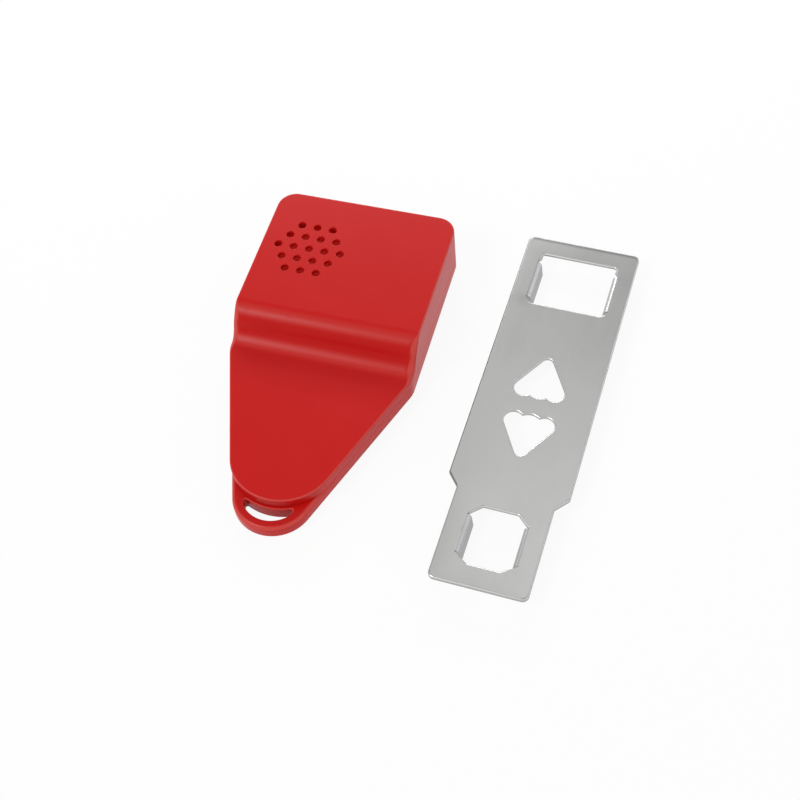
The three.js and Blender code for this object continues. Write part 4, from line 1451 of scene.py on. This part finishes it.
def lobedTriangle():
    # A rounded apex, two lobes, and a shallow arch that bows into the base between them.
    lobeX, lobe, rise, apexRadius = (triangle[key] for key in ("lobeX", "lobe", "rise", "apexRadius"))
    apexY = -(triangle["apex"] + apexRadius)
    lobeY = lobe - triangle["base"]
    slope = math.atan2(lobeY - apexY, lobeX)
    reach = math.hypot(lobeX, lobeY - apexY)
    normal = slope + math.acos((apexRadius - lobe) / reach)
    cuspX = lobeX - math.sqrt(rise * (2 * lobe - rise))
    middle = (cuspX ** 2 + rise ** 2) / (2 * rise)
    cornerCusp = math.asin(1 - rise / lobe) - math.pi
    middleCusp = -math.asin(1 - rise / middle)
    right = arcPoints(0, apexY, apexRadius, math.pi / 2, normal)
    right += arcPoints(lobeX, lobeY, lobe, normal, cornerCusp)
    right += arcPoints(0, middle - triangle["base"], middle, middleCusp, -math.pi / 2)[1:]
    return right + [(-x, y) for x, y in right[-2:0:-1]]


def tabSection(share):
    # Inward reach, height and outward direction of a tab's top surface, from the bend line to its foot.
    along = tabLength * share
    angle = min(along / bendOuter, bendSweep)
    rest = max(0.0, along - bendLength)
    inward = bendOuter * math.sin(angle) + rest * math.sin(plate["lean"])
    z = bendCentre + bendOuter * math.cos(angle) - rest * math.cos(plate["lean"])
    return inward, z, math.sin(angle), math.cos(angle)


def addTab(work, near, far, hand):
    # A strip of faces from the bend line, whose two ends are given, down to the foot.
    steps = plate["bendSteps"]
    bendShare = bendLength / tabLength
    shares = [bendShare * i / steps for i in range(1, steps + 1)] + [1.0]
    half = abs(near.co.x)
    for share in shares:
        inward, z, outX, outZ = tabSection(share)
        row = []
        for start in (near, far):
            vert = work.verts.new((hand * (half - inward), start.co.y, z))
            vert[work.verts.layers.float_vector["up"]] = (-hand * outX, 0, outZ)
            row.append(vert)
        work.faces.new((near, far, row[1], row[0]))
        near, far = row


def nearestVert(work, x, y):
    return min(work.verts, key=lambda vert: (vert.co.x - x) ** 2 + (vert.co.y - y) ** 2)


def sheetPattern():
    # The sheet's top surface with its windows and its bent tabs.
    work = bmesh.new()
    up = work.verts.layers.float_vector.new("up")
    mirror = -(2 * triangle["base"] + triangle["gap"])
    second = [(x, mirror - y) for x, y in reversed(lobedTriangle())]
    for loop in (plateOutline(), windowOutline("wedge"), windowOutline("strike"), lobedTriangle(), second):
        verts = [work.verts.new((x, y, plate["top"])) for x, y in loop]
        for i, vert in enumerate(verts):
            vert[up] = (0, 0, 1)
            work.edges.new((vert, verts[(i + 1) % len(verts)]))
    bmesh.ops.remove_doubles(work, verts=work.verts, dist=plate["weld"])
    bmesh.ops.triangle_fill(work, use_beauty=True, use_dissolve=False, edges=work.edges)
    bmesh.ops.dissolve_limit(work, angle_limit=plate["flat"], verts=[], edges=work.edges)
    for half in windows.values():
        x, start = half[2]
        end = half[3][1]
        for hand in (-1, 1):
            near, far = (nearestVert(work, hand * x, -along) for along in (start, end))
            addTab(work, near, far, hand)
    return work


def onPlate(point):
    # A place on the flat pattern, from the alarm's own zero.
    cosTurn, sinTurn = math.cos(plate["turn"]), math.sin(plate["turn"])
    return (plate["x"] + point.x * cosTurn - point.y * sinTurn,
            plate["y"] + point.x * sinTurn + point.y * cosTurn, point.z)


def isRim(x, y):
    # Whether a place on the flat pattern lies on its outer edge.
    end = y > rimBand["far"] or y < rimBand["near"]
    side = abs(x) > plate["half"] - rimBand["side"]
    narrowSide = y < rimBand["shoulder"] - plate["shoulder"][0] and abs(x) > rimBand["narrow"]
    return end or side or narrowSide


def roundRims(piece, count, jobs):
    # jobs holds the edges to round, as pairs of points of the upper face, and the rounding's radius.
    with editing(piece.data) as work:
        for pairs, width in jobs:
            picked = []
            for edge in filter(isSharp, work.edges):
                first, last = (vert.index for vert in edge.verts)
                if (first < count) == (last < count) and frozenset((first % count, last % count)) in pairs:
                    picked.append(edge)
            bevelled(work, picked, width, meshWork["bevelSteps"])
        wide = [face for face in work.faces if len(face.verts) > plate["mostCorners"]]
        bmesh.ops.triangulate(work, faces=wide, ngon_method="BEAUTY")


def latchPlate():
    flat = sheetPattern()
    up = flat.verts.layers.float_vector["up"]
    flat.verts.index_update()
    upper = [onPlate(vert.co) for vert in flat.verts]
    under = [onPlate(vert.co - vert[up] * plate["thickness"]) for vert in flat.verts]
    under = [(x, y, max(0.0, z)) for x, y, z in under]
    count = len(upper)
    faces, outer, inner = [], set(), set()
    for face in flat.faces:
        row = [vert.index for vert in face.verts]
        faces += [tuple(row), tuple(i + count for i in reversed(row))]
    for edge in flat.edges:
        if len(edge.link_faces) == 1:
            first, last = (vert.index for vert in edge.verts)
            faces.append((first, last, last + count, first + count))
            if all(isRim(vert.co.x, vert.co.y) for vert in edge.verts):
                outer.add(frozenset((first, last)))
            elif all(vert.co.z > plate["top"] - plate["weld"] for vert in edge.verts):
                inner.add(frozenset((first, last)))
    flat.free()
    made = solid("latchPlate", upper + under, faces)
    roundRims(made, count, [(inner, plate["windowEdge"]), (outer, plate["rimEdge"])])
    dress(made, "plate", "plated_steel", ["latch_plate"], plate["smooth"])


finishes["plated_steel"] = brushed("platedSteel", platedSteel)
latchPlate()
print("latch plate ready")


# Pieces that keep their modelled shape

slots = {row["node"]: row["material_slot"] for row in frame["record"]["subparts"]}
for nodeName, nodeObject in frame["nodes"].items():
    nodeObject.data.materials.clear()
    nodeObject.data.materials.append(finishes[slots[nodeName]])
print("inner parts ready")
